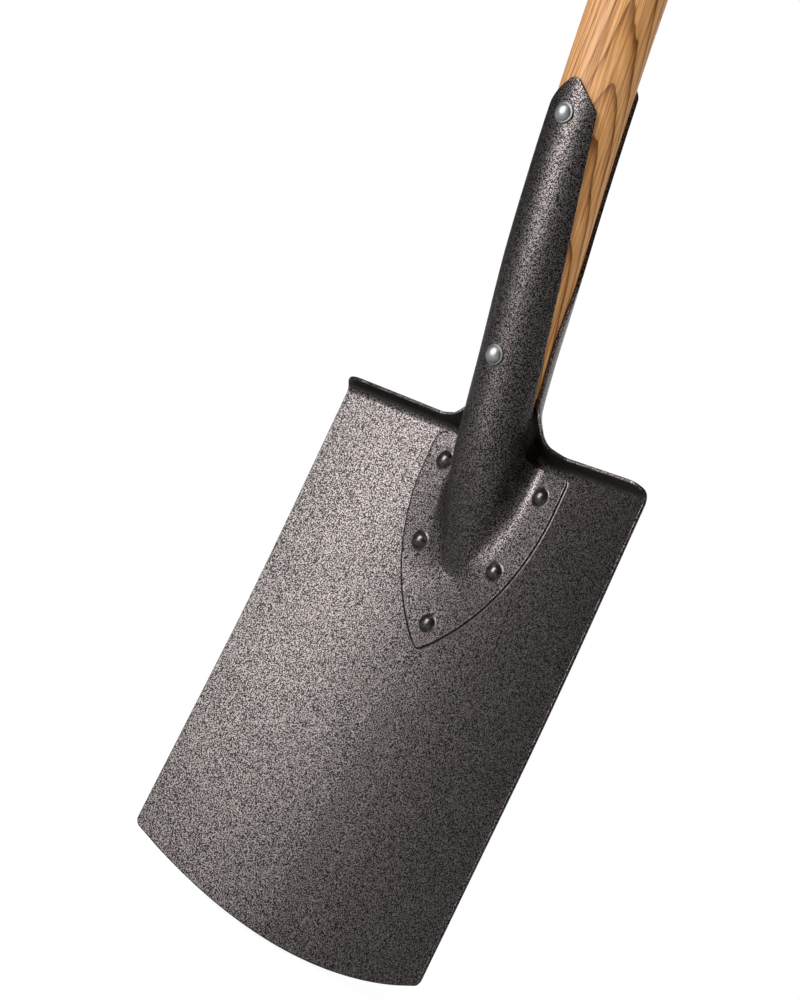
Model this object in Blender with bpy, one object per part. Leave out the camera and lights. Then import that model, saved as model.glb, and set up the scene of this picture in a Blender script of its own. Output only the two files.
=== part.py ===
"""Garden spade with a two-strap riveted socket and a cranked ash shaft.

Metres, +Z up. X runs across the blade, the hollow front of the blade faces -Y,
and the lowest point of the cutting edge lies on Z = 0 in the middle of the blade.
"""
import math

import bmesh
import bpy
from mathutils import Matrix, Vector
from mathutils.geometry import intersect_point_line

# Blade
BLADE_WIDTH_TOP = 0.1975
BLADE_WIDTH_EDGE = 0.1999
BLADE_SHEET = 0.0018
TREAD_LINE = 0.2740
EDGE_BOW = 0.0200
BLADE_DISH = 0.0190
BLADE_DISH_TOP = 0.0210
SWEEP_START = 0.120
SWEEP_RADIUS = 3.20
EDGE_CORNER_RADIUS = 0.005

# Treads, bent forward along the blade's top
TREAD_BEND_RADIUS = 0.0065
TREAD_ANGLE = math.radians(78.0)
TREAD_LIP = 0.0052
TREAD_CORNER_RADIUS = 0.0095
TREAD_FILLET = 0.009
TREAD_FALL = 0.0020

# Shaft
SHAFT_DIAMETER = 0.0376
SHAFT_DIAMETER_AT_CRANK = 0.0348
SHAFT_DIAMETER_AT_GRIP = 0.0290
SHAFT_TAPER_START = 0.305
SHAFT_TAPER_TOP = 0.370
SHAFT_NECK_START = 0.780
SHAFT_FORWARD = 0.0212
SHAFT_LEAN = math.radians(20.95)
SHAFT_LEAN_TOP = math.radians(9.0)
CRANK_START = 0.2796
CRANK_RADIUS = 1.522
GRIP_HEIGHT = 1.010

# Socket
SOCKET_FIT = 0.0003
STRAP_SHEET = 0.0016
REAR_COVER_LOW = math.radians(84.0)
REAR_COVER_HIGH = math.radians(54.0)
REAR_NECK_LOW = 0.325
REAR_NECK_HIGH = 0.390
REAR_SHOULDER = 0.4550
FRONT_COVER_LOW = math.radians(93.0)
FRONT_COVER_HIGH = math.radians(47.5)
FRONT_SHOULDER = 0.4350
STRAP_POINT = 0.0142
POINT_RADIUS = 0.0024
SHOULDER_RADIUS = 0.004

# Hollow pressed into the blade's top, from flat blade to half-round strap
GUTTER_START = 0.250
GUTTER_LENGTH = 0.050
GUTTER_EDGE_LENGTH = 0.027
GUTTER_HALF_WIDTH = 0.020
FLARE_HALF_WIDTH = 0.026
FLARE_DELAY = 52.0

# Shield plate and the swelling that takes the shaft's end
SHIELD_HALF_WIDTH = 0.0433
SHIELD_TIP = 0.1643
SHIELD_TOP = 0.2735
SHIELD_ARCH_START = 0.2560
SHIELD_CORNER_RADIUS = 0.004
SHIELD_TIP_RADIUS = 0.002
SHIELD_NECK_RADIUS = 0.006
NOSE = 0.2055
NOSE_LENGTH = 0.043
NOSE_LEAST = 0.0020
NOSE_FOOT = 0.0130
NOSE_SOFTNESS = 0.04
FOOT_HEIGHT = 0.0105
FOOT_WIDTH = 0.0088
SWELLING_REACH = 0.0280
SHAFT_END_ABOVE_NOSE = 0.018
SHAFT_END_SLIM = 0.0034
SHAFT_SLIM_START = 0.290
SHAFT_SLIM_TOP = 0.308
SHAFT_END_SIDE = 0.0015
SHAFT_END_PLAY = 0.0005

# Rivets
RIVET_CLEARANCE = 0.0003
SHIELD_RIVET_PLACES = {
    "upper": (0.0321, 0.2598),
    "middle": (0.0252, 0.2164),
}
SHIELD_RIVET_LOWEST = 0.1791
SHIELD_HEAD_DIAMETER = 0.0090
SHIELD_HEAD_HEIGHT = 0.0027
SHIELD_SHANK_DIAMETER = 0.0050
SHIELD_TAIL_DIAMETER = 0.0077
SHIELD_TAIL_HEIGHT = 0.0010
SHAFT_RIVET_STATIONS = {"lower": 0.3180, "upper": 0.4345}
SHAFT_HEAD_DIAMETER = 0.0086
SHAFT_HEAD_HEIGHT = 0.0024
SHAFT_SHANK_DIAMETER = 0.0060
WASHER_DIAMETER = 0.0108
WASHER_THICKNESS = 0.0008
HEAD_FLAT = 0.12

# Grip
GRIP_LENGTH = 0.128
GRIP_DIAMETER = 0.040
GRIP_END_DIAMETER = 0.029
GRIP_FACE_DIAMETER = 0.020
GRIP_END_SQUARENESS = 14
GRIP_DROOP = 0.005
GRIP_SEAT = 0.0134
GRIP_SEAT_DIAMETER = 0.041
TENON_DIAMETER = 0.021
TENON_PROUD = 0.0006
CROWN_TRIM = 0.001
WEDGE_DEPTH = 0.018
WEDGE_WIDTH = 0.0193
WEDGE_TOP = 0.0034
WEDGE_BOTTOM = 0.0014
PIN_DIAMETER = 0.005
PIN_CHAMFER = 0.0008
PIN_DROP = 0.0055

# Faceting
SMOOTH_ANGLE = math.radians(40.0)
ARC_STEP = math.radians(15.0)
SHAFT_SIDES = 28
GRIP_SIDES = 24
GRIP_STEPS = 10
CROWN_STEPS = 9
RIVET_SIDES = 14
WASHER_SIDES = 20
HOLE_SIDES = 12
HOLE_MARGIN = 1.3
RIM_ROUND = 0.0005
OUTLINE_STEP = 0.010
ARCH_STEP = 0.0045
BLADE_COLUMN = 0.0125
BLADE_ROW = 0.026
GUTTER_COLUMN = 0.0042
GUTTER_ROW = 0.0062
TREAD_BEND_STEPS = 4
FILLET_ROW = 0.003
STRAP_ROW = 0.013
SHIELD_COLUMN = 0.009
SHIELD_ROW = 0.010
SWELLING_COLUMN = 0.0023
SWELLING_ROW = 0.0044
SHAFT_END_ROW = 0.007
SHAFT_CRANK_ROW = 0.018
SHAFT_ROW = 0.032
SHAFT_NECK_ROW = 0.080
NORMAL_STEP = 0.0004
HALVINGS = 40
MERGE = 0.00025
FLAT = 0.00001


def clamp(value, low, high):
    return max(low, min(high, value))


def ease(t):
    """Smooth step from 0 to 1."""
    t = clamp(t, 0.0, 1.0)
    return t * t * (3.0 - 2.0 * t)


def mix(a, b, t):
    return a + (b - a) * t


def soften(t, softness):
    """Ramp from 0 to 1 that starts softly."""
    return (math.hypot(t, softness) - softness) / (math.hypot(1.0, softness) - softness)


def span(start, stop, step):
    """Evenly spaced values from start to stop, no further apart than step."""
    count = max(1, math.ceil((stop - start) / step))
    return [start + (stop - start) * i / count for i in range(count + 1)]


def mirrored(values):
    return sorted({-value for value in values} | set(values))


# Derived sizes of the tread
TREAD_BEND_LENGTH = TREAD_BEND_RADIUS * TREAD_ANGLE
TREAD_MARGIN = TREAD_BEND_LENGTH + TREAD_LIP
TREAD_BLANK_TOP = TREAD_LINE + TREAD_MARGIN


# Shaft axis: straight at the treads, a long arc above them, straight again to the grip

CRANK_END = CRANK_START + CRANK_RADIUS * (math.sin(SHAFT_LEAN) - math.sin(SHAFT_LEAN_TOP))


def lean(z):
    """Angle of the shaft's axis from the vertical, forward, at height z."""
    sine = math.sin(SHAFT_LEAN) - (z - CRANK_START) / CRANK_RADIUS
    return math.asin(clamp(sine, math.sin(SHAFT_LEAN_TOP), math.sin(SHAFT_LEAN)))


def axis_y(z):
    if z < CRANK_START:
        return -SHAFT_FORWARD + (CRANK_START - z) * math.tan(SHAFT_LEAN)
    arc = -SHAFT_FORWARD - CRANK_RADIUS * (math.cos(lean(z)) - math.cos(SHAFT_LEAN))
    return arc - max(0.0, z - CRANK_END) * math.tan(SHAFT_LEAN_TOP)


def axis_point(z):
    return Vector((0.0, axis_y(z), z))


def axis_forward(z):
    """Unit vector that points forward, square to the shaft's axis."""
    angle = lean(z)
    return Vector((0.0, -math.cos(angle), -math.sin(angle)))


def shaft_radius(z):
    low = SHAFT_DIAMETER_AT_CRANK / 2
    full = SHAFT_DIAMETER / 2
    if z < SHAFT_TAPER_TOP:
        return mix(low, full, ease((z - SHAFT_TAPER_START) / (SHAFT_TAPER_TOP - SHAFT_TAPER_START)))
    neck = ease((z - SHAFT_NECK_START) / (GRIP_HEIGHT - SHAFT_NECK_START))
    return mix(full, SHAFT_DIAMETER_AT_GRIP / 2, neck)


def strap_radius(z, sheet):
    """Radius of the middle of a strap's sheet where it lies round the shaft."""
    return shaft_radius(z) + SOCKET_FIT + sheet / 2


# Blade surface

def blade_half_width(z):
    return mix(BLADE_WIDTH_EDGE, BLADE_WIDTH_TOP, clamp(z / TREAD_LINE, 0.0, 1.0)) / 2


def blade_y(x, z):
    """Middle of the blade's sheet: hollow across, and swept forward towards the top."""
    sweep = max(0.0, z - SWEEP_START) ** 2 / (2 * SWEEP_RADIUS)
    deepening = ease((z - SWEEP_START) / (TREAD_LINE - SWEEP_START))
    dish = mix(BLADE_DISH, BLADE_DISH_TOP, deepening) * (x / blade_half_width(z)) ** 2
    return BLADE_SHEET / 2 - sweep - dish


def edge_height(u):
    """Height of the bowed cutting edge at a distance u from the middle."""
    half = BLADE_WIDTH_EDGE / 2
    radius = (half ** 2 + EDGE_BOW ** 2) / (2 * EDGE_BOW)
    return radius - math.sqrt(radius ** 2 - u ** 2)


def rear_cover(z):
    """Half angle that the rear strap covers at height z."""
    neck = ease((z - REAR_NECK_LOW) / (REAR_NECK_HIGH - REAR_NECK_LOW))
    return mix(REAR_COVER_LOW, REAR_COVER_HIGH, neck)


def rear_edge(z):
    """Half width of the rear strap's blank."""
    return rear_cover(z) * strap_radius(z, BLADE_SHEET)


def bend(length):
    """Reach and rise of the tread at a length past the line where its bend starts."""
    turned = min(length, TREAD_BEND_LENGTH) / TREAD_BEND_RADIUS
    lip = max(0.0, length - TREAD_BEND_LENGTH)
    reach = TREAD_BEND_RADIUS * math.sin(turned) + lip * math.cos(TREAD_ANGLE)
    rise = TREAD_BEND_RADIUS * (1.0 - math.cos(turned)) + lip * math.sin(TREAD_ANGLE)
    return reach, rise


def press_tread(u, v):
    """Blade with its margin bent forward along the treads and round both fillets."""
    corner_u = rear_edge(TREAD_BLANK_TOP + TREAD_FILLET) + TREAD_FILLET
    corner_v = TREAD_BLANK_TOP + TREAD_FILLET
    to_side = max(0.0, corner_u - abs(u))
    to_top = max(0.0, corner_v - v)
    distance = math.hypot(to_side, to_top)
    length = TREAD_MARGIN - (distance - TREAD_FILLET)
    if length <= 0.0:
        return u, v, 0.0
    reach, rise = bend(length)
    out_u = to_side / distance if distance > 0.0 else 0.0
    out_v = to_top / distance if distance > 0.0 else 0.0
    slide = reach - length
    return u + math.copysign(out_u * slide, u), v + out_v * slide, rise


def tread_fall(x, z):
    """How far the blade's top droops towards the treads' ends."""
    share = ease((z - SWEEP_START) / (TREAD_LINE - SWEEP_START))
    return TREAD_FALL * share * abs(x / blade_half_width(z)) ** 3


def gutter_share(u, v):
    """How far the sheet has turned from flat blade, 0, into half-round strap, 1."""
    side = ease(abs(u) / GUTTER_HALF_WIDTH)
    start = mix(GUTTER_START, TREAD_LINE, side)
    start += FLARE_DELAY * max(0.0, abs(u) - FLARE_HALF_WIDTH) ** 2
    return ease((v - start) / mix(GUTTER_LENGTH, GUTTER_EDGE_LENGTH, side))


def press_blade(u, v):
    """Place of the blank's point (u, v) on the finished blade and rear strap."""
    x, z, rise = press_tread(u, v)
    y = blade_y(x, z) - rise
    z -= tread_fall(x, z)
    strap = gutter_share(u, v)
    if strap == 0.0:
        return Vector((x, y, z))
    radius = strap_radius(v, BLADE_SHEET)
    angle = u / radius
    round_x = radius * math.sin(angle)
    round_y = axis_y(v) + radius * math.cos(angle) / math.cos(lean(v))
    return Vector((mix(x, round_x, strap), mix(y, round_y, strap), mix(z, v, strap)))


# Front strap surface

def tube_front(z):
    """Foremost line of the front strap's sheet where it lies round the shaft."""
    return axis_y(z) - strap_radius(z, STRAP_SHEET) / math.cos(lean(z))


def shield_y(x, z):
    """Middle of the shield plate's sheet, which lies on the blade."""
    return blade_y(x, z) - BLADE_SHEET / 2 - SOCKET_FIT - STRAP_SHEET / 2


def front_base(z):
    return shield_y(0.0, min(z, TREAD_LINE))


def swelling(z):
    """Half width, height, crown height, foot's lift and foot's width of the swelling."""
    full = strap_radius(TREAD_LINE, STRAP_SHEET)
    full_height = front_base(TREAD_LINE) - tube_front(TREAD_LINE)
    if z >= TREAD_LINE:
        radius = strap_radius(z, STRAP_SHEET)
        crown = radius / math.cos(lean(z))
        wall = full_height - full / math.cos(SHAFT_LEAN)
        return radius, wall + crown, crown, FOOT_HEIGHT, FOOT_WIDTH
    nose = clamp((z - NOSE) / NOSE_LENGTH, 0.0, 1.0)
    outer = mix(NOSE_LEAST, full + FOOT_WIDTH, math.sqrt(1.0 - (1.0 - nose) ** 2))
    t = clamp((z - NOSE) / (TREAD_LINE - NOSE), 0.0, 1.0)
    foot_width = min(mix(NOSE_FOOT, FOOT_WIDTH, t), outer / 2)
    slope = math.tan(SHAFT_LEAN) * (TREAD_LINE - NOSE) / full_height
    soft = soften(t, NOSE_SOFTNESS)
    height = max(FLAT, full_height * soft * (2.0 - slope - (1.0 - slope) * soft))
    half_width = outer - foot_width
    crown = min(height, half_width / math.cos(SHAFT_LEAN))
    return half_width, height, crown, min(FOOT_HEIGHT, height / 2), foot_width


def section_lengths(z):
    """Crown angle of a section of the swelling, and lengths of its crown, wall, foot and plate."""
    half_width, height, crown, foot, foot_width = swelling(z)
    wall = height - crown
    angle = math.acos(clamp((foot - wall) / crown, 0.0, 1.0))
    foot_length = math.pi / 4 * (foot + foot_width)
    plate = SWELLING_REACH - half_width - foot_width
    return angle, half_width * angle, max(0.0, wall - foot), foot_length, plate


def section(w, z):
    """Half section at height z of shield and swelling: place across, and lift off the shield."""
    if w >= SWELLING_REACH:
        return w, 0.0
    half_width, height, crown, foot, foot_width = swelling(z)
    crown_angle, crown_length, wall_length, foot_length, plate = section_lengths(z)
    along = w / SWELLING_REACH * (crown_length + wall_length + foot_length + plate)
    if along < crown_length:
        angle = along / crown_length * crown_angle
        return half_width * math.sin(angle), height - crown * (1.0 - math.cos(angle))
    along -= crown_length
    if along < wall_length:
        return half_width, height - crown - along
    along -= wall_length
    if along < foot_length:
        turn = along / foot_length * math.pi / 2
        lift = foot * (1.0 - math.sin(turn))
        above = max(0.0, lift - (height - crown)) / crown
        return half_width * math.sqrt(1.0 - above ** 2) + foot_width * (1.0 - math.cos(turn)), lift
    return half_width + foot_width + along - foot_length, 0.0


def blank_place(x, z):
    """Place in the blank of the shield's point at a distance x from the middle."""
    if x >= SWELLING_REACH:
        return x
    low, high = 0.0, SWELLING_REACH
    for _ in range(HALVINGS):
        middle = (low + high) / 2
        if section(middle, z)[0] < x:
            low = middle
        else:
            high = middle
    return low


def front_blank_point(x, z):
    return Vector((math.copysign(blank_place(abs(x), z), x), z, 0.0))


def press_front(w, v):
    """Place of the blank's point (w, v) on the finished front strap and shield."""
    x, lift = section(abs(w), v)
    height = swelling(v)[1]
    front = tube_front(v) if v >= TREAD_LINE else front_base(v) - height
    dish = (shield_y(x, min(v, TREAD_LINE)) - front_base(v)) * (1.0 - lift / height)
    fade = 1.0 - ease((v - TREAD_LINE) / TREAD_FILLET)
    return Vector((math.copysign(x, w), front + height - lift + dish * fade, v))


def front_cover(z):
    """Half angle that the front strap covers at height z."""
    share = clamp((z - TREAD_LINE) / (FRONT_SHOULDER - TREAD_LINE), 0.0, 1.0)
    return mix(FRONT_COVER_LOW, FRONT_COVER_HIGH, share)


def front_edge(z):
    """Half width of the front strap's blank."""
    covered = front_cover(z) * strap_radius(z, STRAP_SHEET)
    return SWELLING_REACH * covered / sum(section_lengths(z)[1:])


# Outlines of the blanks

def rounded(corners):
    """Outline through corners (u, v, radius), each turned with an arc of its radius."""
    outline = []
    count = len(corners)
    for i, (u, v, radius) in enumerate(corners):
        here = Vector((u, v))
        if radius == 0.0:
            outline.append(here)
            continue
        before = (Vector(corners[i - 1][:2]) - here).normalized()
        after = (Vector(corners[(i + 1) % count][:2]) - here).normalized()
        half = before.angle(after) / 2
        centre = here + (before + after).normalized() * radius / math.sin(half)
        start = here + before * radius / math.tan(half) - centre
        turn = math.pi - 2 * half
        if start.x * (after.y - before.y) - start.y * (after.x - before.x) < 0.0:
            turn = -turn
        steps = max(2, math.ceil(abs(turn) / ARC_STEP))
        for k in range(steps + 1):
            outline.append(centre + Matrix.Rotation(turn * k / steps, 2) @ start)
    return outline


def both_sides(half):
    """Whole outline from the right half, listed from the bottom to the top."""
    left = [(-u, v, radius) for u, v, radius in reversed(half) if u > 0.0]
    return rounded(half + left)


def strap_top(edge, shoulder):
    """Pointed top of a strap."""
    width = edge(shoulder)
    return [(width, shoulder, SHOULDER_RADIUS), (0.0, shoulder + STRAP_POINT, POINT_RADIUS)]


def blade_outline():
    half_edge = BLADE_WIDTH_EDGE / 2
    arc = [u for u in span(0.0, half_edge, OUTLINE_STEP) if u < half_edge - 2 * EDGE_CORNER_RADIUS]
    half = [(u, edge_height(u), 0.0) for u in arc]
    half.append((half_edge, EDGE_BOW, EDGE_CORNER_RADIUS))
    half.append((BLADE_WIDTH_TOP / 2, TREAD_BLANK_TOP, TREAD_CORNER_RADIUS))
    fillet_top = TREAD_BLANK_TOP + TREAD_FILLET
    half.append((rear_edge(fillet_top), TREAD_BLANK_TOP, TREAD_FILLET))
    rows = span(fillet_top, REAR_SHOULDER, OUTLINE_STEP)[1:]
    half += [(rear_edge(z), z, 0.0) for z in rows if z < REAR_SHOULDER - SHOULDER_RADIUS]
    return both_sides(half + strap_top(rear_edge, REAR_SHOULDER))


def shield_half_width(z):
    """Half width of the shield plate: parallel above, a pointed arch below."""
    rise = SHIELD_ARCH_START - SHIELD_TIP
    radius = (SHIELD_HALF_WIDTH ** 2 + rise ** 2) / (2 * SHIELD_HALF_WIDTH)
    drop = max(0.0, SHIELD_ARCH_START - z)
    return SHIELD_HALF_WIDTH - radius + math.sqrt(radius ** 2 - drop ** 2)


def shield_outline():
    """Right half of the shield plate, seen from the front, from its tip to its top."""
    rows = span(SHIELD_TIP, SHIELD_TOP - SHIELD_CORNER_RADIUS, ARCH_STEP)[1:-1]
    half = [(0.0, SHIELD_TIP, SHIELD_TIP_RADIUS)]
    half += [(shield_half_width(z), z, 0.0) for z in rows]
    half.append((SHIELD_HALF_WIDTH, SHIELD_TOP, SHIELD_CORNER_RADIUS))
    return [p for p in both_sides(half) if p.x > -FLAT]


def front_outline():
    half = [(blank_place(p.x, p.y), p.y, 0.0) for p in shield_outline()]
    half[0] = (0.0, half[0][1], 0.0)
    half.append((front_edge(SHIELD_TOP), SHIELD_TOP, SHIELD_NECK_RADIUS))
    lowest = SHIELD_TOP + 2 * SHIELD_NECK_RADIUS
    rows = span(lowest, FRONT_SHOULDER - 2 * SHOULDER_RADIUS, OUTLINE_STEP)
    half += [(front_edge(z), z, 0.0) for z in rows]
    return both_sides(half + strap_top(front_edge, FRONT_SHOULDER))


# Sheet metal

def slice_blank(blank, axis, positions, lowest):
    """Cut the blank along lines square to an axis, above the lowest height that they reach."""
    normal = Vector((1.0, 0.0, 0.0)) if axis == 0 else Vector((0.0, 1.0, 0.0))
    for position in positions:
        faces = [f for f in blank.faces if f.calc_center_median().y > lowest]
        edges = {edge for face in faces for edge in face.edges}
        verts = {vert for face in faces for vert in face.verts}
        bmesh.ops.bisect_plane(blank, geom=list(verts) + list(edges) + faces, dist=MERGE / 2,
                               plane_co=normal * position, plane_no=normal)


def reaches(face, hole):
    """Whether a hole, or the margin it needs for its rim, touches a face of the blank."""
    centre = sum(hole, Vector()) / len(hole)
    if bmesh.geometry.intersect_face_point(face, centre):
        return True
    reach = max((point - centre).length for point in hole) * HOLE_MARGIN
    for edge in face.edges:
        start, end = edge.verts[0].co, edge.verts[1].co
        share = clamp(intersect_point_line(centre, start, end)[1], 0.0, 1.0)
        if (start.lerp(end, share) - centre).length < reach:
            return True
    return False


def punch(blank, hole):
    """Open a hole, given as a loop of points, in the flat blank."""
    region = {face for face in blank.faces if reaches(face, hole)}
    border, inner = [], []
    for edge in {edge for face in region for edge in face.edges}:
        shared = sum(face in region for face in edge.link_faces)
        (border if shared == 1 else inner).append(edge)
    loop = [blank.verts.new(point) for point in hole]
    rim = [blank.edges.new(pair) for pair in zip(loop, loop[1:] + loop[:1])]
    bmesh.ops.delete(blank, geom=list(region), context="FACES_ONLY")
    bmesh.ops.delete(blank, geom=inner, context="EDGES")
    bmesh.ops.triangle_fill(blank, use_beauty=True, edges=border + rim, normal=Vector((0.0, 0.0, 1.0)))


def cut_blank(outline, cuts, holes):
    """Flat blank with its holes and a mesh fine enough to take its pressed shape."""
    blank = bmesh.new()
    blank.faces.new([blank.verts.new((p.x, p.y, 0.0)) for p in outline])
    for axis, positions, lowest in cuts:
        slice_blank(blank, axis, positions, lowest)
    bmesh.ops.remove_doubles(blank, verts=blank.verts, dist=MERGE)
    for hole in holes:
        punch(blank, hole)
    bmesh.ops.triangulate(blank, faces=blank.faces)
    blank.normal_update()
    return blank


def pressed_normal(press, u, v):
    across = press(u + NORMAL_STEP, v) - press(u - NORMAL_STEP, v)
    along = press(u, v + NORMAL_STEP) - press(u, v - NORMAL_STEP)
    return across.cross(along).normalized()


def outward(vert):
    """Direction in the blank that points out over its edge at a boundary point."""
    total = Vector((0.0, 0.0, 0.0))
    for edge in vert.link_edges:
        if not edge.is_boundary:
            continue
        along = (edge.verts[1].co - edge.verts[0].co).normalized()
        across = Vector((along.y, -along.x, 0.0))
        centre = edge.link_faces[0].calc_center_median()
        if across.dot(edge.verts[0].co - centre) < 0.0:
            across.negate()
        total += across
    return total.normalized()


def pressed_sheet(name, blank, press, sheet, material):
    """Press a blank to its shape and give it its thickness and a rounded rim."""
    body = bmesh.new()
    front, back, rim = {}, {}, {}
    for vert in blank.verts:
        u, v = vert.co.x, vert.co.y
        if vert.is_boundary:
            rim[vert] = body.verts.new(press(u, v))
            inward = outward(vert) * RIM_ROUND
            u, v = u - inward.x, v - inward.y
        middle = press(u, v)
        offset = pressed_normal(press, u, v) * sheet / 2
        front[vert] = body.verts.new(middle + offset)
        back[vert] = body.verts.new(middle - offset)
    for face in blank.faces:
        body.faces.new([front[vert] for vert in face.verts])
        body.faces.new([back[vert] for vert in reversed(face.verts)])
    for edge in blank.edges:
        if edge.is_boundary:
            a, b = edge.verts
            body.faces.new((front[a], front[b], rim[b], rim[a]))
            body.faces.new((rim[a], rim[b], back[b], back[a]))
    blank.free()
    return finish(name, body, material)


# Objects

def finish(name, body, material):
    """Object from a closed mesh, smooth but for its sharp edges."""
    bmesh.ops.recalc_face_normals(body, faces=body.faces)
    mesh = bpy.data.meshes.new(name)
    body.to_mesh(mesh)
    body.free()
    mesh.shade_smooth()
    mesh.set_sharp_from_angle(angle=SMOOTH_ANGLE)
    mesh.materials.append(material)
    item = bpy.data.objects.new(name, mesh)
    bpy.context.scene.collection.objects.link(item)
    return item


def loft(rings):
    """Closed body through rings of points, capped at both ends."""
    body = bmesh.new()
    loops = [[body.verts.new(point) for point in ring] for ring in rings]
    count = len(loops[0])
    for low, high in zip(loops, loops[1:]):
        for i in range(count):
            j = (i + 1) % count
            body.faces.new((low[i], low[j], high[j], high[i]))
    body.faces.new(list(reversed(loops[0])))
    body.faces.new(loops[-1])
    return body


def turned(profile, sides):
    """Body turned about Z from a profile of (radius, height), closed at both ends."""
    rings = []
    for radius, height in profile:
        angles = [2 * math.pi * (k + 0.5) / sides for k in range(sides)]
        rings.append([Vector((radius * math.cos(a), radius * math.sin(a), height)) for a in angles])
    return loft(rings)


def cut_out(item, cutters):
    """Take the cutters' shapes away from an object."""
    for cutter in cutters:
        cutter.hide_render = True
        cutter.display_type = "WIRE"
        cut = item.modifiers.new(cutter.name, "BOOLEAN")
        cut.operation = "DIFFERENCE"
        cut.solver = "EXACT"
        cut.object = cutter


def drill(name, frame, diameter, start, stop, sides=HOLE_SIDES):
    """Cutter for a round hole along the frame's Z axis."""
    body = turned([(diameter / 2, start), (diameter / 2, stop)], sides)
    cutter = finish(name, body, steel_material())
    cutter.matrix_world = frame
    return cutter


def frame_along(direction, place):
    """Frame at a place, with Z along a direction and X kept across the spade."""
    z_axis = direction.normalized()
    y_axis = z_axis.cross(Vector((1.0, 0.0, 0.0))).normalized()
    x_axis = y_axis.cross(z_axis)
    rotation = Matrix((x_axis, y_axis, z_axis)).transposed().to_4x4()
    return Matrix.Translation(place) @ rotation


# Materials

def make_material(name, colour, metallic, roughness):
    known = bpy.data.materials.get(name)
    if known:
        return known
    material = bpy.data.materials.new(name)
    material.use_nodes = True
    shader = material.node_tree.nodes["Principled BSDF"]
    shader.inputs["Base Color"].default_value = (*colour, 1.0)
    shader.inputs["Metallic"].default_value = metallic
    shader.inputs["Roughness"].default_value = roughness
    material.diffuse_color = (*colour, 1.0)
    return material


def hammered_material():
    """Dark grey-brown hammered enamel on the blade, the straps and the shield rivets."""
    return make_material("hammered_enamel", (0.075, 0.066, 0.064), 0.55, 0.42)


def ash_material():
    """Clear-lacquered ash."""
    return make_material("lacquered_ash", (0.47, 0.24, 0.085), 0.0, 0.42)


def steel_material():
    """Bright zinc-plated steel."""
    return make_material("zinc_plated_steel", (0.62, 0.64, 0.65), 1.0, 0.28)


# Pieces

def dome(radius, height, steps):
    """Profile points of a domed head, from its rim up to near its crown."""
    ball = (radius ** 2 + height ** 2) / (2 * height)
    reach = math.asin(min(1.0, radius / ball))
    points = []
    for k in range(steps):
        angle = reach * (1.0 - k / steps)
        points.append((ball * math.sin(angle), height - ball * (1.0 - math.cos(angle))))
    return points + [(radius * HEAD_FLAT, height)]


def shield_rivet_places():
    """Places across and up of the five shield rivets."""
    places = {"shield_rivet_lower": (0.0, SHIELD_RIVET_LOWEST)}
    for level, (x, z) in SHIELD_RIVET_PLACES.items():
        places["shield_rivet_" + level + "_left"] = (-x, z)
        places["shield_rivet_" + level + "_right"] = (x, z)
    return places


def ring_points(x, z, radius, squash):
    """Points round a hole at (x, z), squashed in height by a factor."""
    radius /= math.cos(math.pi / HOLE_SIDES)
    turns = [2 * math.pi * k / HOLE_SIDES for k in range(HOLE_SIDES)]
    return [(x + radius * math.cos(a), z + radius * squash * math.sin(a)) for a in turns]


def rivet_holes(side):
    """Rings of points of all rivet holes in a strap, front (-1) or rear (1)."""
    shank = SHIELD_SHANK_DIAMETER / 2 + RIVET_CLEARANCE
    rings = [ring_points(x, z, shank, 1.0) for x, z in shield_rivet_places().values()]
    shank = SHAFT_SHANK_DIAMETER / 2 + RIVET_CLEARANCE
    sheet = STRAP_SHEET if side < 0 else BLADE_SHEET
    for z in SHAFT_RIVET_STATIONS.values():
        station = z + side * strap_radius(z, sheet) * math.sin(lean(z))
        rings.append(ring_points(0.0, station, shank, math.cos(lean(z))))
    return rings


def shield_rivet_frames():
    """Frames of the shield rivets, on the shield's face and square to it."""
    frames = {}
    for name, (x, z) in shield_rivet_places().items():
        side = Vector((NORMAL_STEP, shield_y(x + NORMAL_STEP, z) - shield_y(x, z), 0.0))
        rise = Vector((0.0, shield_y(x, z + NORMAL_STEP) - shield_y(x, z), NORMAL_STEP))
        normal = side.cross(rise).normalized()
        face = Vector((x, shield_y(x, z), z)) + normal * STRAP_SHEET / 2
        frames[name] = frame_along(normal, face)
    return frames


def shield_rivet(name, frame):
    """Snap-head rivet through shield and blade, hammered down low at the back."""
    grip = STRAP_SHEET + SOCKET_FIT + BLADE_SHEET
    radius = SHIELD_HEAD_DIAMETER / 2
    shank = SHIELD_SHANK_DIAMETER / 2
    seat = RIVET_CLEARANCE
    tail = [(r, -grip - seat - h) for r, h in dome(SHIELD_TAIL_DIAMETER / 2, SHIELD_TAIL_HEIGHT, 2)]
    profile = list(reversed(tail))
    profile += [(shank, -grip - seat), (shank, seat)]
    profile += [(r, seat + h) for r, h in dome(radius, SHIELD_HEAD_HEIGHT, 3)]
    item = finish(name, turned(profile, RIVET_SIDES), hammered_material())
    item.matrix_world = frame
    return item


def shaft_rivet_frames():
    """Frames of the two long rivets, on the shaft's axis with Z pointing forward."""
    frames = {}
    for level, z in SHAFT_RIVET_STATIONS.items():
        frames[level] = (frame_along(axis_forward(z), axis_point(z)), z)
    return frames


def strap_face(z, side):
    """Distance from the axis at height z to the outer face of the front (-1) or rear (1) strap."""
    sheet = STRAP_SHEET if side < 0 else BLADE_SHEET
    station = z + side * strap_radius(z, sheet) * math.sin(lean(z))
    return shaft_radius(station) + SOCKET_FIT + sheet


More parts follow.
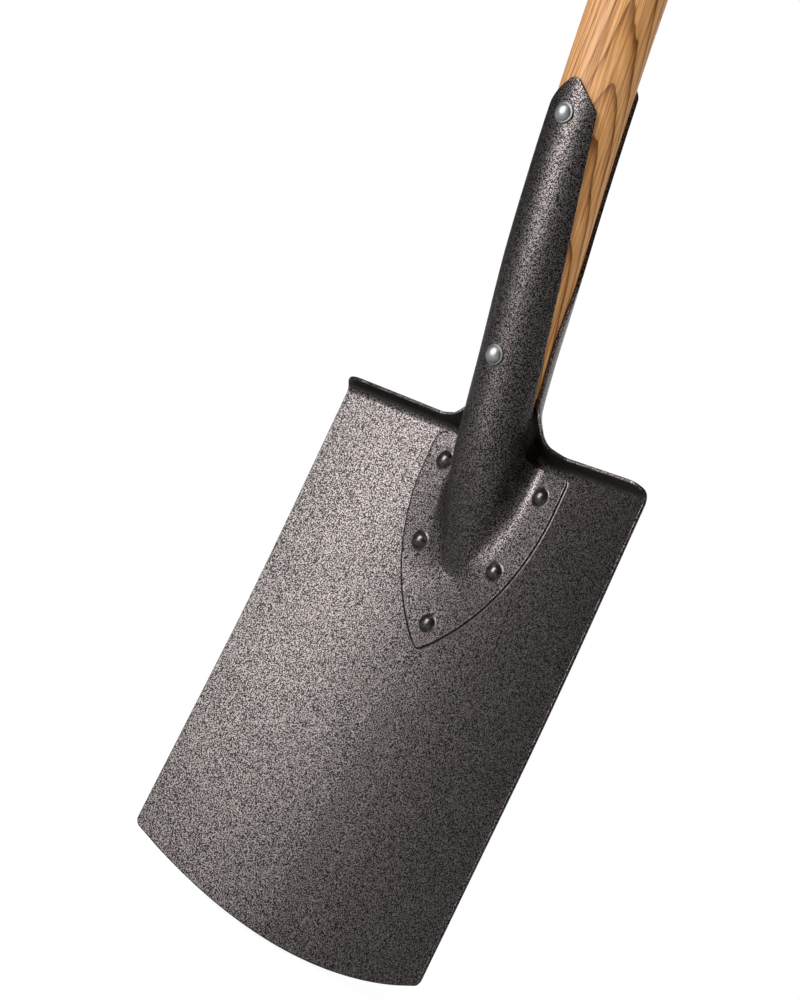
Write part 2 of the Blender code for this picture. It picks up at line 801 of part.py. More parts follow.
def shaft_rivet(level, frame, z):
    """Long rivet through strap, shaft and rear strap, with a washer under its front head."""
    radius = SHAFT_HEAD_DIAMETER / 2
    shank = SHAFT_SHANK_DIAMETER / 2
    front = strap_face(z, -1) + 2 * RIVET_CLEARANCE + WASHER_THICKNESS
    back = strap_face(z, 1) + RIVET_CLEARANCE
    head = dome(radius, SHAFT_HEAD_HEIGHT, 4)
    profile = [(r, -back - h) for r, h in reversed(head)]
    profile += [(shank, -back), (shank, front)]
    profile += [(r, front + h) for r, h in head]
    item = finish("shaft_rivet_" + level, turned(profile, RIVET_SIDES), steel_material())
    item.matrix_world = frame
    return item


def rivet_washer(level, frame, z):
    """Thin washer, bent to the strap's round face."""
    outer = WASHER_DIAMETER / 2
    inner = SHAFT_SHANK_DIAMETER / 2 + RIVET_CLEARANCE
    edge = WASHER_THICKNESS / 4
    low = strap_face(z, -1) + RIVET_CLEARANCE
    high = low + WASHER_THICKNESS
    profile = [(inner, low), (outer, low), (outer, high - edge), (outer - edge, high), (inner, high)]
    body = bmesh.new()
    loops = []
    for radius, height in profile:
        loop = []
        for k in range(WASHER_SIDES):
            angle = 2 * math.pi * k / WASHER_SIDES
            x = radius * math.cos(angle)
            sag = height - math.sqrt(height ** 2 - x ** 2)
            loop.append(body.verts.new((x, radius * math.sin(angle), height - sag)))
        loops.append(loop)
    for inside, outside in zip(loops, loops[1:] + loops[:1]):
        for i in range(WASHER_SIDES):
            j = (i + 1) % WASHER_SIDES
            body.faces.new((inside[i], inside[j], outside[j], outside[i]))
    item = finish("rivet_washer_" + level, body, steel_material())
    item.matrix_world = frame
    return item


def shaft_rivet_bores(frames):
    """Cutters for the two bores through the shaft."""
    diameter = SHAFT_SHANK_DIAMETER + 2 * RIVET_CLEARANCE
    bores = []
    for level, (frame, z) in frames.items():
        reach = strap_face(z, 1)
        bores.append(drill("shaft_bore_" + level, frame, diameter, -reach, reach))
    return bores


def blade():
    """Blade, treads and rear strap, pressed from one sheet."""
    fillet_top = TREAD_BLANK_TOP + TREAD_FILLET
    rows = span(EDGE_BOW, GUTTER_START, BLADE_ROW)
    rows += span(GUTTER_START, TREAD_LINE, GUTTER_ROW)[1:-1]
    rows += span(TREAD_LINE, TREAD_LINE + TREAD_BEND_LENGTH, TREAD_BEND_LENGTH / TREAD_BEND_STEPS)
    rows += span(TREAD_BLANK_TOP, fillet_top, FILLET_ROW)
    rows += span(fillet_top, REAR_SHOULDER, STRAP_ROW)[1:]
    columns = mirrored(span(0.0, BLADE_WIDTH_TOP / 2, BLADE_COLUMN))
    gutter = mirrored(span(0.0, rear_edge(TREAD_BLANK_TOP) + TREAD_FILLET, GUTTER_COLUMN))
    cuts = [(1, rows, 0.0), (0, columns, 0.0), (0, gutter, GUTTER_START - GUTTER_COLUMN)]
    holes = [[Vector((x, z, 0.0)) for x, z in ring] for ring in rivet_holes(1)]
    blank = cut_blank(blade_outline(), cuts, holes)
    return pressed_sheet("blade", blank, press_blade, BLADE_SHEET, hammered_material())


def front_strap():
    """Front strap, swelling and shield plate, pressed from one sheet."""
    rows = span(SHIELD_TIP, NOSE, SHIELD_ROW)[1:]
    rows += span(NOSE, SHIELD_TOP, SWELLING_ROW)[1:]
    rows += [NOSE + NOSE_LEAST]
    rows += span(SHIELD_TOP, FRONT_SHOULDER, STRAP_ROW)[1:]
    columns = [0.0] + mirrored(span(SWELLING_REACH, SHIELD_HALF_WIDTH, SHIELD_COLUMN)[1:])
    swelling_columns = mirrored(span(0.0, SWELLING_REACH, SWELLING_COLUMN))
    cuts = [(1, rows, 0.0), (0, columns, 0.0), (0, swelling_columns, NOSE - FOOT_WIDTH)]
    holes = [[front_blank_point(x, z) for x, z in ring] for ring in rivet_holes(-1)]
    blank = cut_blank(front_outline(), cuts, holes)
    return pressed_sheet("front_strap", blank, press_front, STRAP_SHEET, hammered_material())


def rear_face(x, z):
    """Depth that the shaft may reach at the back, where blade and rear strap lie on it."""
    radius = strap_radius(z, BLADE_SHEET)
    round_y = axis_y(z) + math.sqrt(radius ** 2 - x ** 2) / math.cos(lean(z))
    middle = mix(blade_y(x, z), round_y, gutter_share(x, z))
    return middle - (BLADE_SHEET / 2 + SOCKET_FIT) / math.cos(lean(z))


def shaft_section(z):
    """Level ring of the shaft's lower end, slimmed and trimmed at the back to lie on the blade."""
    slim = SHAFT_END_SLIM * (1.0 - ease((z - SHAFT_SLIM_START) / (SHAFT_SLIM_TOP - SHAFT_SLIM_START)))
    if z < TREAD_LINE:
        half_width, height, _, _, _ = swelling(z)
        margin = STRAP_SHEET / 2 + SOCKET_FIT + SHAFT_END_PLAY * ease((TREAD_LINE - z) / FOOT_WIDTH)
        width = half_width - margin - slim
        front = front_base(z) - height + margin / math.cos(lean(z))
    else:
        width = shaft_radius(z) - slim
        front = axis_y(z) - shaft_radius(z) / math.cos(lean(z))
    round_depth = width / math.cos(lean(z))
    middle = min(front + round_depth, rear_face(width, z) - SHAFT_END_SIDE)
    ring = []
    for k in range(SHAFT_SIDES):
        angle = 2 * math.pi * k / SHAFT_SIDES
        x = width * math.sin(angle)
        depth = middle - front if math.cos(angle) > 0.0 else round_depth
        ring.append(Vector((x, min(middle - depth * math.cos(angle), rear_face(x, z)), z)))
    return ring


def shaft_ring(z):
    """Ring of the round shaft, level at the socket and square to the axis higher up."""
    radius = shaft_radius(z)
    tilt = lean(z) * ease((z - SHAFT_SLIM_TOP) / (CRANK_END - SHAFT_SLIM_TOP))
    depth = radius / math.cos(lean(z) - tilt)
    forward = Vector((0.0, -math.cos(tilt), -math.sin(tilt)))
    across = Vector((1.0, 0.0, 0.0))
    ring = []
    for k in range(SHAFT_SIDES):
        angle = 2 * math.pi * k / SHAFT_SIDES
        ring.append(axis_point(z) + across * radius * math.sin(angle) + forward * depth * math.cos(angle))
    return ring


def grip_frame():
    """Frame at the middle of the grip, with Z along the shaft."""
    up = Vector((0.0, -math.sin(SHAFT_LEAN_TOP), math.cos(SHAFT_LEAN_TOP)))
    return frame_along(up, axis_point(GRIP_HEIGHT))


def shaft():
    """Ash shaft with its trimmed lower end and the tenon that enters the grip."""
    end = NOSE + SHAFT_END_ABOVE_NOSE
    rings = [shaft_section(z) for z in span(end, TREAD_LINE, SHAFT_END_ROW)[:-1]]
    rings += [shaft_section(z) for z in span(TREAD_LINE, SHAFT_SLIM_TOP, SHAFT_END_ROW)]
    shoulder = GRIP_HEIGHT - (GRIP_SEAT + RIVET_CLEARANCE) * math.cos(SHAFT_LEAN_TOP)
    rings += [shaft_ring(z) for z in span(SHAFT_SLIM_TOP, SHAFT_TAPER_TOP, SHAFT_CRANK_ROW)[1:]]
    rings += [shaft_ring(z) for z in span(SHAFT_TAPER_TOP, SHAFT_NECK_START, SHAFT_ROW)[1:]]
    rings += [shaft_ring(z) for z in span(SHAFT_NECK_START, shoulder, SHAFT_NECK_ROW)[1:]]
    frame = grip_frame()
    top = GRIP_DIAMETER / 2 + TENON_PROUD + CROWN_TRIM
    tenon = TENON_DIAMETER / 2
    for radius, height in ((tenon, -GRIP_SEAT - RIVET_CLEARANCE), (tenon, top)):
        ring = []
        for k in range(SHAFT_SIDES):
            angle = 2 * math.pi * k / SHAFT_SIDES
            ring.append(frame @ Vector((radius * math.sin(angle), -radius * math.cos(angle), height)))
        rings.append(ring)
    return finish("shaft", loft(rings), ash_material())


def grip_radius(x):
    """Radius of the crossbar: full in the middle, slimmer outwards, rounded at its ends."""
    share = min(1.0, abs(x) / (GRIP_LENGTH / 2))
    body = mix(GRIP_END_DIAMETER, GRIP_DIAMETER, 0.5 + 0.5 * math.cos(math.pi * share)) / 2
    return mix(GRIP_FACE_DIAMETER / 2, body, math.sqrt(1.0 - share ** GRIP_END_SQUARENESS))


def grip_crossbar():
    """Turned ash crossbar, with a level seat and a mortise for the shaft's tenon."""
    half = GRIP_LENGTH / 2
    rings = []
    for step in range(-GRIP_STEPS, GRIP_STEPS + 1):
        x = half * math.sin(math.pi / 2 * step / GRIP_STEPS)
        radius = grip_radius(x)
        droop = GRIP_DROOP * (x / half) ** 2
        ring = []
        for k in range(GRIP_SIDES):
            angle = 2 * math.pi * k / GRIP_SIDES
            ring.append(Vector((x, radius * math.cos(angle), radius * math.sin(angle) - droop)))
        rings.append(ring)
    item = finish("grip_crossbar", loft(rings), ash_material())
    frame = grip_frame()
    item.matrix_world = frame
    seat = drill("grip_seat_cut", frame, GRIP_SEAT_DIAMETER, -GRIP_DIAMETER, -GRIP_SEAT, SHAFT_SIDES)
    hole = TENON_DIAMETER + 2 * RIVET_CLEARANCE
    mortise = drill("grip_mortise_cut", frame, hole, -GRIP_DIAMETER, GRIP_DIAMETER, SHAFT_SIDES)
    cut_out(item, [seat, mortise, pin_hole("grip_pin_hole", frame)])
    return item


def pin_frame(frame):
    return frame @ Matrix.Translation((0.0, 0.0, -PIN_DROP)) @ Matrix.Rotation(math.pi / 2, 4, "X")


def pin_hole(name, frame):
    """Cutter for the pin's hole through crossbar and tenon."""
    hole = PIN_DIAMETER + 2 * RIVET_CLEARANCE
    return drill(name, pin_frame(frame), hole, -GRIP_DIAMETER, GRIP_DIAMETER)


def grip_pin():
    """Headless steel pin that locks the tenon in the crossbar."""
    half = math.sqrt((GRIP_DIAMETER / 2) ** 2 - (PIN_DROP + PIN_DIAMETER / 2) ** 2)
    radius = PIN_DIAMETER / 2
    end = radius - PIN_CHAMFER
    profile = [(end, -half), (radius, PIN_CHAMFER - half)]
    profile += [(radius, half - PIN_CHAMFER), (end, half)]
    item = finish("grip_pin", turned(profile, RIVET_SIDES), steel_material())
    item.matrix_world = pin_frame(grip_frame())
    return item


def crown_cutter(name):
    """Cutter that rounds the top of tenon and wedge to the crossbar's own roundness."""
    radius = GRIP_DIAMETER / 2 + TENON_PROUD
    top = radius + TENON_DIAMETER
    half_angle = math.asin((TENON_DIAMETER / 2 + 2 * CROWN_TRIM) / radius)
    arc = [mix(-half_angle, half_angle, k / CROWN_STEPS) for k in range(CROWN_STEPS + 1)]
    outline = [(radius * math.sin(a), radius * math.cos(a)) for a in arc]
    outline += [(outline[-1][0], top), (outline[0][0], top)]
    rings = [[Vector((x, y, z)) for y, z in outline] for x in (-TENON_DIAMETER, TENON_DIAMETER)]
    cutter = finish(name, loft(rings), ash_material())
    cutter.matrix_world = grip_frame()
    return cutter


def wedge_body(clearance):
    """Wedge that tapers downwards, or the slot for it with a clearance all round."""
    top = GRIP_DIAMETER / 2 + TENON_PROUD
    reach = WEDGE_WIDTH / 2 + clearance
    extra = CROWN_TRIM + clearance
    slope = (WEDGE_TOP - WEDGE_BOTTOM) / WEDGE_DEPTH
    rings = []
    for height, width in ((top - WEDGE_DEPTH - clearance, WEDGE_BOTTOM),
                          (top + extra, WEDGE_TOP + slope * extra)):
        x = width / 2 + clearance
        rings.append([Vector((-x, -reach, height)), Vector((x, -reach, height)),
                      Vector((x, reach, height)), Vector((-x, reach, height))])
    return loft(rings)


def grip_wedge():
    item = finish("grip_wedge", wedge_body(0.0), ash_material())
    item.matrix_world = grip_frame()
    cut_out(item, [crown_cutter("wedge_crown_cut")])
    return item


def clear_scene():
    for item in list(bpy.data.objects):
        bpy.data.objects.remove(item, do_unlink=True)


def build():
    clear_scene()
    shield_frames = shield_rivet_frames()
    shaft_frames = shaft_rivet_frames()
    blade()
    front_strap()
    shaft_item = shaft()
    slot = finish("shaft_wedge_slot", wedge_body(RIVET_CLEARANCE), ash_material())
    slot.matrix_world = grip_frame()
    cut_out(shaft_item, shaft_rivet_bores(shaft_frames))
    cut_out(shaft_item, [crown_cutter("shaft_crown_cut"), slot, pin_hole("shaft_pin_hole", grip_frame())])
    grip_crossbar()
    grip_wedge()
    grip_pin()
    for name, frame in shield_frames.items():
        shield_rivet(name, frame)
    for level, (frame, z) in shaft_frames.items():
        shaft_rivet(level, frame, z)
        rivet_washer(level, frame, z)


build()
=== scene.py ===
"""Looks of the digging spade: hammered enamel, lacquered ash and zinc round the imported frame."""
from math import acos, asin, ceil, copysign, cos, hypot, pi, radians, sin, sqrt, tan

import bmesh
import bpy
from mathutils import Matrix, Vector
from mathutils.geometry import delaunay_2d_cdt
from mathutils.kdtree import KDTree


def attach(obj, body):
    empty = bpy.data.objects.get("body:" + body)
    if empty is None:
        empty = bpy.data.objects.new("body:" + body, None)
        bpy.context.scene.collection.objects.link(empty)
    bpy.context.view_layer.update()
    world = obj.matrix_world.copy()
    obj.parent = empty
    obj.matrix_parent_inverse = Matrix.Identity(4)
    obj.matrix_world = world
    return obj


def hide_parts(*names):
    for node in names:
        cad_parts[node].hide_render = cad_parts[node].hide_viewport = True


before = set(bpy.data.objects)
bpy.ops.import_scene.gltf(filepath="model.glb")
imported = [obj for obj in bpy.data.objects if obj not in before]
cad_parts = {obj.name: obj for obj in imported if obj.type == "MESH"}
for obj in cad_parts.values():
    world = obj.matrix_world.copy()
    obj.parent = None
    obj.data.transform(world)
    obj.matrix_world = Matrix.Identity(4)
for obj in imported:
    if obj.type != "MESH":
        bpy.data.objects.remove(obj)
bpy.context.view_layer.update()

# Camera, as fitted to the photograph
CAMERA_AZIMUTH = radians(37.39461)
CAMERA_ELEVATION = radians(-5.45369)
CAMERA_ROLL = radians(-26.64438)
CAMERA_DISTANCE = 1.23158
CAMERA_TARGET = Vector((-0.05298, 0.0, 0.2325))
CAMERA_LENS = 84.18

# Blade
BLADE_WIDTH_TOP = 0.1975
BLADE_WIDTH_EDGE = 0.1999
BLADE_SHEET = 0.0018
TREAD_LINE = 0.274
EDGE_BOW = 0.02
BLADE_DISH = 0.019
BLADE_DISH_TOP = 0.021
SWEEP_START = 0.12
SWEEP_RADIUS = 3.2
EDGE_CORNER_RADIUS = 0.005

# Treads, bent forward along the blade's top
TREAD_BEND_RADIUS = 0.0065
TREAD_ANGLE = radians(78.0)
TREAD_LIP = 0.0052
TREAD_CORNER_RADIUS = 0.0095
TREAD_FILLET = 0.009
TREAD_FALL = 0.002
TREAD_BEND_LENGTH = TREAD_BEND_RADIUS * TREAD_ANGLE
TREAD_MARGIN = TREAD_BEND_LENGTH + TREAD_LIP
TREAD_BLANK_TOP = TREAD_LINE + TREAD_MARGIN
FILLET_TOP = TREAD_BLANK_TOP + TREAD_FILLET

# Shaft
SHAFT_DIAMETER = 0.0376
SHAFT_DIAMETER_AT_CRANK = 0.0348
SHAFT_DIAMETER_AT_GRIP = 0.029
SHAFT_TAPER_START = 0.305
SHAFT_TAPER_TOP = 0.37
SHAFT_NECK_START = 0.78
SHAFT_FORWARD = 0.0212
SHAFT_LEAN = radians(20.95)
SHAFT_LEAN_TOP = radians(9.0)
CRANK_START = 0.2796
CRANK_RADIUS = 1.522
CRANK_END = CRANK_START + CRANK_RADIUS * (sin(SHAFT_LEAN) - sin(SHAFT_LEAN_TOP))
GRIP_HEIGHT = 1.01

# Socket
SOCKET_FIT = 0.0003
STRAP_SHEET = 0.0016
REAR_COVER_LOW = radians(84.0)
REAR_COVER_HIGH = radians(54.0)
REAR_NECK_LOW = 0.325
REAR_NECK_HIGH = 0.39
REAR_SHOULDER = 0.455
FRONT_COVER_LOW = radians(93.0)
FRONT_COVER_HIGH = radians(47.5)
FRONT_SHOULDER = 0.435
STRAP_POINT = 0.0142
POINT_RADIUS = 0.0024
SHOULDER_RADIUS = 0.004

# Hollow pressed into the blade's top, from flat blade to half-round strap
GUTTER_START = 0.25
GUTTER_LENGTH = 0.05
GUTTER_EDGE_LENGTH = 0.027
GUTTER_HALF_WIDTH = 0.02
FLARE_HALF_WIDTH = 0.026
FLARE_DELAY = 52.0

# Shield plate and the swelling that takes the shaft's end
SHIELD_HALF_WIDTH = 0.0433
SHIELD_TIP = 0.1643
SHIELD_TOP = 0.2735
SHIELD_ARCH_START = 0.256
SHIELD_CORNER_RADIUS = 0.004
SHIELD_TIP_RADIUS = 0.0035
SHIELD_NECK_RADIUS = 0.006
NOSE = 0.2055
NOSE_LENGTH = 0.043
NOSE_LEAST = 0.002
NOSE_FOOT = 0.013
NOSE_SOFTNESS = 0.04
FOOT_HEIGHT = 0.0105
FOOT_WIDTH = 0.0088
SWELLING_REACH = 0.028
SHAFT_END_ABOVE_NOSE = 0.018
SHAFT_END_SLIM = 0.0034
SHAFT_SLIM_START = 0.29
SHAFT_SLIM_TOP = 0.308
SHAFT_END_SIDE = 0.0015
SHAFT_END_PLAY = 0.0005

# Rivets
RIVET_CLEARANCE = 0.0003
SHIELD_RIVET_PLACES = {"upper": (0.0321, 0.2598), "middle": (0.0252, 0.2164)}
SHIELD_RIVET_LOWEST = 0.1791
SHIELD_HEAD_DIAMETER = 0.009
SHIELD_HEAD_HEIGHT = 0.0027
SHIELD_SHANK_DIAMETER = 0.005
SHIELD_TAIL_DIAMETER = 0.0077
SHIELD_TAIL_HEIGHT = 0.001
SHAFT_RIVET_STATIONS = {"lower": 0.318, "upper": 0.4345}
SHAFT_HEAD_DIAMETER = 0.0086
SHAFT_HEAD_HEIGHT = 0.0024
SHAFT_SHANK_DIAMETER = 0.006
WASHER_DIAMETER = 0.0108
WASHER_THICKNESS = 0.0008

# Grip
GRIP_LENGTH = 0.128
GRIP_DIAMETER = 0.04
GRIP_END_DIAMETER = 0.029
GRIP_FACE_DIAMETER = 0.02
GRIP_END_SQUARENESS = 14
GRIP_DROOP = 0.005
GRIP_SEAT = 0.0134
GRIP_SEAT_DIAMETER = 0.041
TENON_DIAMETER = 0.021
TENON_PROUD = 0.0006
WEDGE_DEPTH = 0.018
WEDGE_WIDTH = 0.0193
WEDGE_TOP = 0.0034
WEDGE_BOTTOM = 0.0014
PIN_DIAMETER = 0.005
PIN_CHAMFER = 0.0008
PIN_DROP = 0.0055

# Rings of the tenon's top, each a share of its radius and how far it is sunk
TENON_RINGS = ((1.0, 0.0005), (0.981, 0.0001), (0.952, 0.0), (0.7, 0.0), (0.4, 0.0), (0.1, 0.0))
WEDGE_PROUD = 0.0001

# Fineness of the dressed meshes
SMOOTH_ANGLE = radians(40.0)
ARC_STEP = radians(9.0)
OUTLINE_STEP = 0.005
ARCH_STEP = 0.0045
HOLE_SIDES = 20
NORMAL_STEP = 0.0002
HALVINGS = 34
FLAT = 0.00001
MERGE_DISTANCE = 1e-7
RIM_ROUND = 0.0007
RIM_STEPS = 8
RIM_SQUARENESS = 0.5
RIM_SPACING = 0.0014
SHAFT_SIDES = 96
SHAFT_ROW = 0.004
GRIP_SIDES = 96
GRIP_STEPS = 36
RIVET_SIDES = 64
DOME_STEPS = 16
DOME_TOP = 0.02
TAIL_STEPS = 6
WEDGE_ROW = 0.0012
WASHER_ROUND = 0.00025
WASHER_ROUND_STEPS = 3

# Grids of points in the flat blanks, with their steps across and up
BLADE_GRID = (0.0026, 0.0035)
BLADE_SIDE_GRID = (0.0024, 0.0024)
GUTTER_GRID = (0.0011, 0.0011)
TREAD_GRID = (0.002, 0.0007)
STRAP_GRID = (0.0013, 0.0028)
SHIELD_GRID = (0.0016, 0.0016)
SWELLING_GRID = (0.00085, 0.001)
GRID_GAP = 0.0015
GUTTER_GRID_RANGE = (GUTTER_START - 0.01, TREAD_BLANK_TOP + 0.02)
SWELLING_GRID_RANGE = (NOSE - 0.003, SHIELD_TOP + 0.012)

# Paint that gathers in corners; the left seam is coloured dark as a painted shadow
SEAM_WIDTH = 0.0014
SEAM_WIDTH_LEFT = 0.0021
SEAM_WIDTH_TIP = 0.0009
SEAM_TAPER = 0.008
SEAM_HEIGHT = 0.0009
SEAM_END = 0.03
SEAM_COVER = 0.0008
SEAM_OVERLAP = 0.0002
SEAM_DEPTH = 0.00018
SEAM_SINK = 0.00002
SEAM_STEPS = 6
BEAD_START = 0.0009
BEAD_RADIUS = 0.006
BEAD_SINK = 0.0001
BEAD_STEPS = 8
HEAD_PAINT = 0.0006

# Shield plate's edge, pulled up off the blade beside the swelling
FLANGE_SLOPE = 0.1
FLANGE_LEAST_WIDTH = 0.012
FLANGE_FOOT_SHARE = 0.8
FLANGE_START = (NOSE - 0.006, NOSE + 0.014)
FLANGE_END = (0.258, 0.282)

# Growth rings of the ash, and where each piece is cut from the tree
PITH = (-0.0508, 0.0293, 0.0)
RING_WIDTH = 0.0027
RING_SLOPE = 0.072
RING_SWAY = 0.0075
RING_FLUTTER = 0.0009
GRIP_GRAIN = Vector((0.021, 0.0, 0.4))
WEDGE_GRAIN = Vector((0.013, -0.008, 0.71))

# Grain of the hammered enamel
CELL_SCALE = 1500.0
GRAIN_SCALE = 1760.0

# Floor and world: where they turn white to the eye, and how bright they are to the object
FLOOR_HALF = 8.0
FLOOR_GAP = 0.0004
FLOOR_WHITE = (0.25, 0.75)
FLOOR_BEHIND = (0.45, 1.3)
FLOOR_SHADE = 0.45
FLOOR_SHADE_DROP = 0.13
FLOOR_GLOW = 0.76
WORLD_BEHIND = (0.62, 1.05)
WORLD_STRENGTH = 0.38
WORLD_STRENGTH_DROP = 0.34
WHITE = (1.0, 1.0, 1.0, 1.0)

# Lamps, each with its place, aim, width, height and power
LAMPS = {
    "key": ((-0.19, -1.15, 0.62), (0.0, 0.0, 0.3), 0.58, 1.15, 12.6),
    "back": ((-0.94, 1.23, 0.95), (0.0, 0.0, 0.45), 0.9, 1.2, 10.0),
    "fill": ((1.25, 0.15, 0.62), (0.0, 0.0, 0.45), 0.8, 1.2, 4.0),
}


def clamp(value, low, high):
    return max(low, min(high, value))


def ease(t):
    """Smooth step from 0 to 1."""
    t = clamp(t, 0.0, 1.0)
    return t * t * (3.0 - 2.0 * t)


def passed(value, start, end):
    """Smooth share, 0 to 1, of the way from start to end that a value has gone."""
    return ease((value - start) / (end - start))


def mix(a, b, t):
    return a + (b - a) * t


def soften(t, softness):
    """Ramp from 0 to 1 that starts softly."""
    return (hypot(t, softness) - softness) / (hypot(1.0, softness) - softness)


def span(start, stop, step):
    """Evenly spaced values from start to stop, no further apart than step."""
    count = max(1, ceil((stop - start) / step))
    return [start + (stop - start) * i / count for i in range(count + 1)]


def arc_radius(half_width, rise):
    return (half_width ** 2 + rise ** 2) / (2 * rise)


def around(count):
    """Angles spaced evenly round a circle."""
    return [2 * pi * k / count for k in range(count)]


# Shaft axis: straight at the treads, a long arc above them, straight again to the grip

def lean(z):
    """Angle of the shaft's axis from the vertical, forward, at height z."""
    sine = sin(SHAFT_LEAN) - (z - CRANK_START) / CRANK_RADIUS
    return asin(clamp(sine, sin(SHAFT_LEAN_TOP), sin(SHAFT_LEAN)))


def axis_y(z):
    if z < CRANK_START:
        return -SHAFT_FORWARD + (CRANK_START - z) * tan(SHAFT_LEAN)
    arc = -SHAFT_FORWARD - CRANK_RADIUS * (cos(lean(z)) - cos(SHAFT_LEAN))
    return arc - max(0.0, z - CRANK_END) * tan(SHAFT_LEAN_TOP)


def axis_point(z):
    return Vector((0.0, axis_y(z), z))


def axis_forward(z):
    """Unit vector that points forward, square to the shaft's axis."""
    angle = lean(z)
    return Vector((0.0, -cos(angle), -sin(angle)))


def shaft_radius(z):
    low = SHAFT_DIAMETER_AT_CRANK / 2
    full = SHAFT_DIAMETER / 2
    if z < SHAFT_TAPER_TOP:
        return mix(low, full, passed(z, SHAFT_TAPER_START, SHAFT_TAPER_TOP))
    return mix(full, SHAFT_DIAMETER_AT_GRIP / 2, passed(z, SHAFT_NECK_START, GRIP_HEIGHT))


def strap_radius(z, sheet):
    """Radius of the middle of a strap's sheet where it lies round the shaft."""
    return shaft_radius(z) + SOCKET_FIT + sheet / 2


# Blade surface

def blade_half_width(z):
    return mix(BLADE_WIDTH_EDGE, BLADE_WIDTH_TOP, clamp(z / TREAD_LINE, 0.0, 1.0)) / 2


def blade_y(x, z):
    """Middle of the blade's sheet: hollow across, and swept forward towards the top."""
    sweep = max(0.0, z - SWEEP_START) ** 2 / (2 * SWEEP_RADIUS)
    depth = mix(BLADE_DISH, BLADE_DISH_TOP, passed(z, SWEEP_START, TREAD_LINE))
    dish = depth * (x / blade_half_width(z)) ** 2
    return BLADE_SHEET / 2 - sweep - dish


def edge_height(u):
    """Height of the bowed cutting edge at a distance u from the middle."""
    half = BLADE_WIDTH_EDGE / 2
    radius = arc_radius(half, EDGE_BOW)
    return radius - sqrt(radius ** 2 - u ** 2)


def rear_edge(z):
    """Half width of the rear strap's blank, from the angle that the strap covers."""
    cover = mix(REAR_COVER_LOW, REAR_COVER_HIGH, passed(z, REAR_NECK_LOW, REAR_NECK_HIGH))
    return cover * strap_radius(z, BLADE_SHEET)


def bend(length):
    """Reach and rise of the tread at a length past the line where its bend starts."""
    turned = min(length, TREAD_BEND_LENGTH) / TREAD_BEND_RADIUS
    lip = max(0.0, length - TREAD_BEND_LENGTH)
    reach = TREAD_BEND_RADIUS * sin(turned) + lip * cos(TREAD_ANGLE)
    rise = TREAD_BEND_RADIUS * (1.0 - cos(turned)) + lip * sin(TREAD_ANGLE)
    return reach, rise


def press_tread(u, v):
    """Blade with its margin bent forward along the treads and fillets."""
    to_side = max(0.0, rear_edge(FILLET_TOP) + TREAD_FILLET - abs(u))
    to_top = max(0.0, FILLET_TOP - v)
    distance = hypot(to_side, to_top)
    length = TREAD_MARGIN - (distance - TREAD_FILLET)
    if length <= 0.0:
        return u, v, 0.0
    reach, rise = bend(length)
    slide = (reach - length) / max(FLAT, distance)
    return u + copysign(to_side * slide, u), v + to_top * slide, rise


def tread_fall(x, z):
    """How far the blade's top droops towards the treads' ends."""
    return TREAD_FALL * passed(z, SWEEP_START, TREAD_LINE) * abs(x / blade_half_width(z)) ** 3


def gutter_share(u, v):
    """How far the sheet has turned from blade, 0, into half-round strap, 1."""
    side = ease(abs(u) / GUTTER_HALF_WIDTH)
    start = mix(GUTTER_START, TREAD_LINE, side)
    start += FLARE_DELAY * max(0.0, abs(u) - FLARE_HALF_WIDTH) ** 2
    return ease((v - start) / mix(GUTTER_LENGTH, GUTTER_EDGE_LENGTH, side))


def press_blade(u, v):
    """Place of the blank's point (u, v) on the finished blade and rear strap."""
    x, z, rise = press_tread(u, v)
    y = blade_y(x, z) - rise
    z -= tread_fall(x, z)
    strap = gutter_share(u, v)
    if strap == 0.0:
        return Vector((x, y, z))
    radius = strap_radius(v, BLADE_SHEET)
    angle = u / radius
    round_x = radius * sin(angle)
    round_y = axis_y(v) + radius * cos(angle) / cos(lean(v))
    return Vector((mix(x, round_x, strap), mix(y, round_y, strap), mix(z, v, strap)))


# Front strap surface

def tube_front(z):
    """Foremost line of the front strap's sheet where it lies round the shaft."""
    return axis_y(z) - strap_radius(z, STRAP_SHEET) / cos(lean(z))


def shield_y(x, z):
    """Middle of the shield plate's sheet, which lies on the blade."""
    return blade_y(x, z) - BLADE_SHEET / 2 - SOCKET_FIT - STRAP_SHEET / 2


def front_base(z):
    return shield_y(0.0, min(z, TREAD_LINE))


def swelling(z):
    """Half width, height, crown height and foot's lift and width of the swelling."""
    full = strap_radius(TREAD_LINE, STRAP_SHEET)
    full_height = front_base(TREAD_LINE) - tube_front(TREAD_LINE)
    if z >= TREAD_LINE:
        radius = strap_radius(z, STRAP_SHEET)
        crown = radius / cos(lean(z))
        wall = full_height - full / cos(SHAFT_LEAN)
        return radius, wall + crown, crown, FOOT_HEIGHT, FOOT_WIDTH
    nose = clamp((z - NOSE) / NOSE_LENGTH, 0.0, 1.0)
    outer = mix(NOSE_LEAST, full + FOOT_WIDTH, sqrt(1.0 - (1.0 - nose) ** 2))
    t = clamp((z - NOSE) / (TREAD_LINE - NOSE), 0.0, 1.0)
    foot_width = min(mix(NOSE_FOOT, FOOT_WIDTH, t), outer / 2)
    slope = tan(SHAFT_LEAN) * (TREAD_LINE - NOSE) / full_height
    soft = soften(t, NOSE_SOFTNESS)
    height = max(FLAT, full_height * soft * (2.0 - slope - (1.0 - slope) * soft))
    half_width = outer - foot_width
    crown = min(height, half_width / cos(SHAFT_LEAN))
    return half_width, height, crown, min(FOOT_HEIGHT, height / 2), foot_width


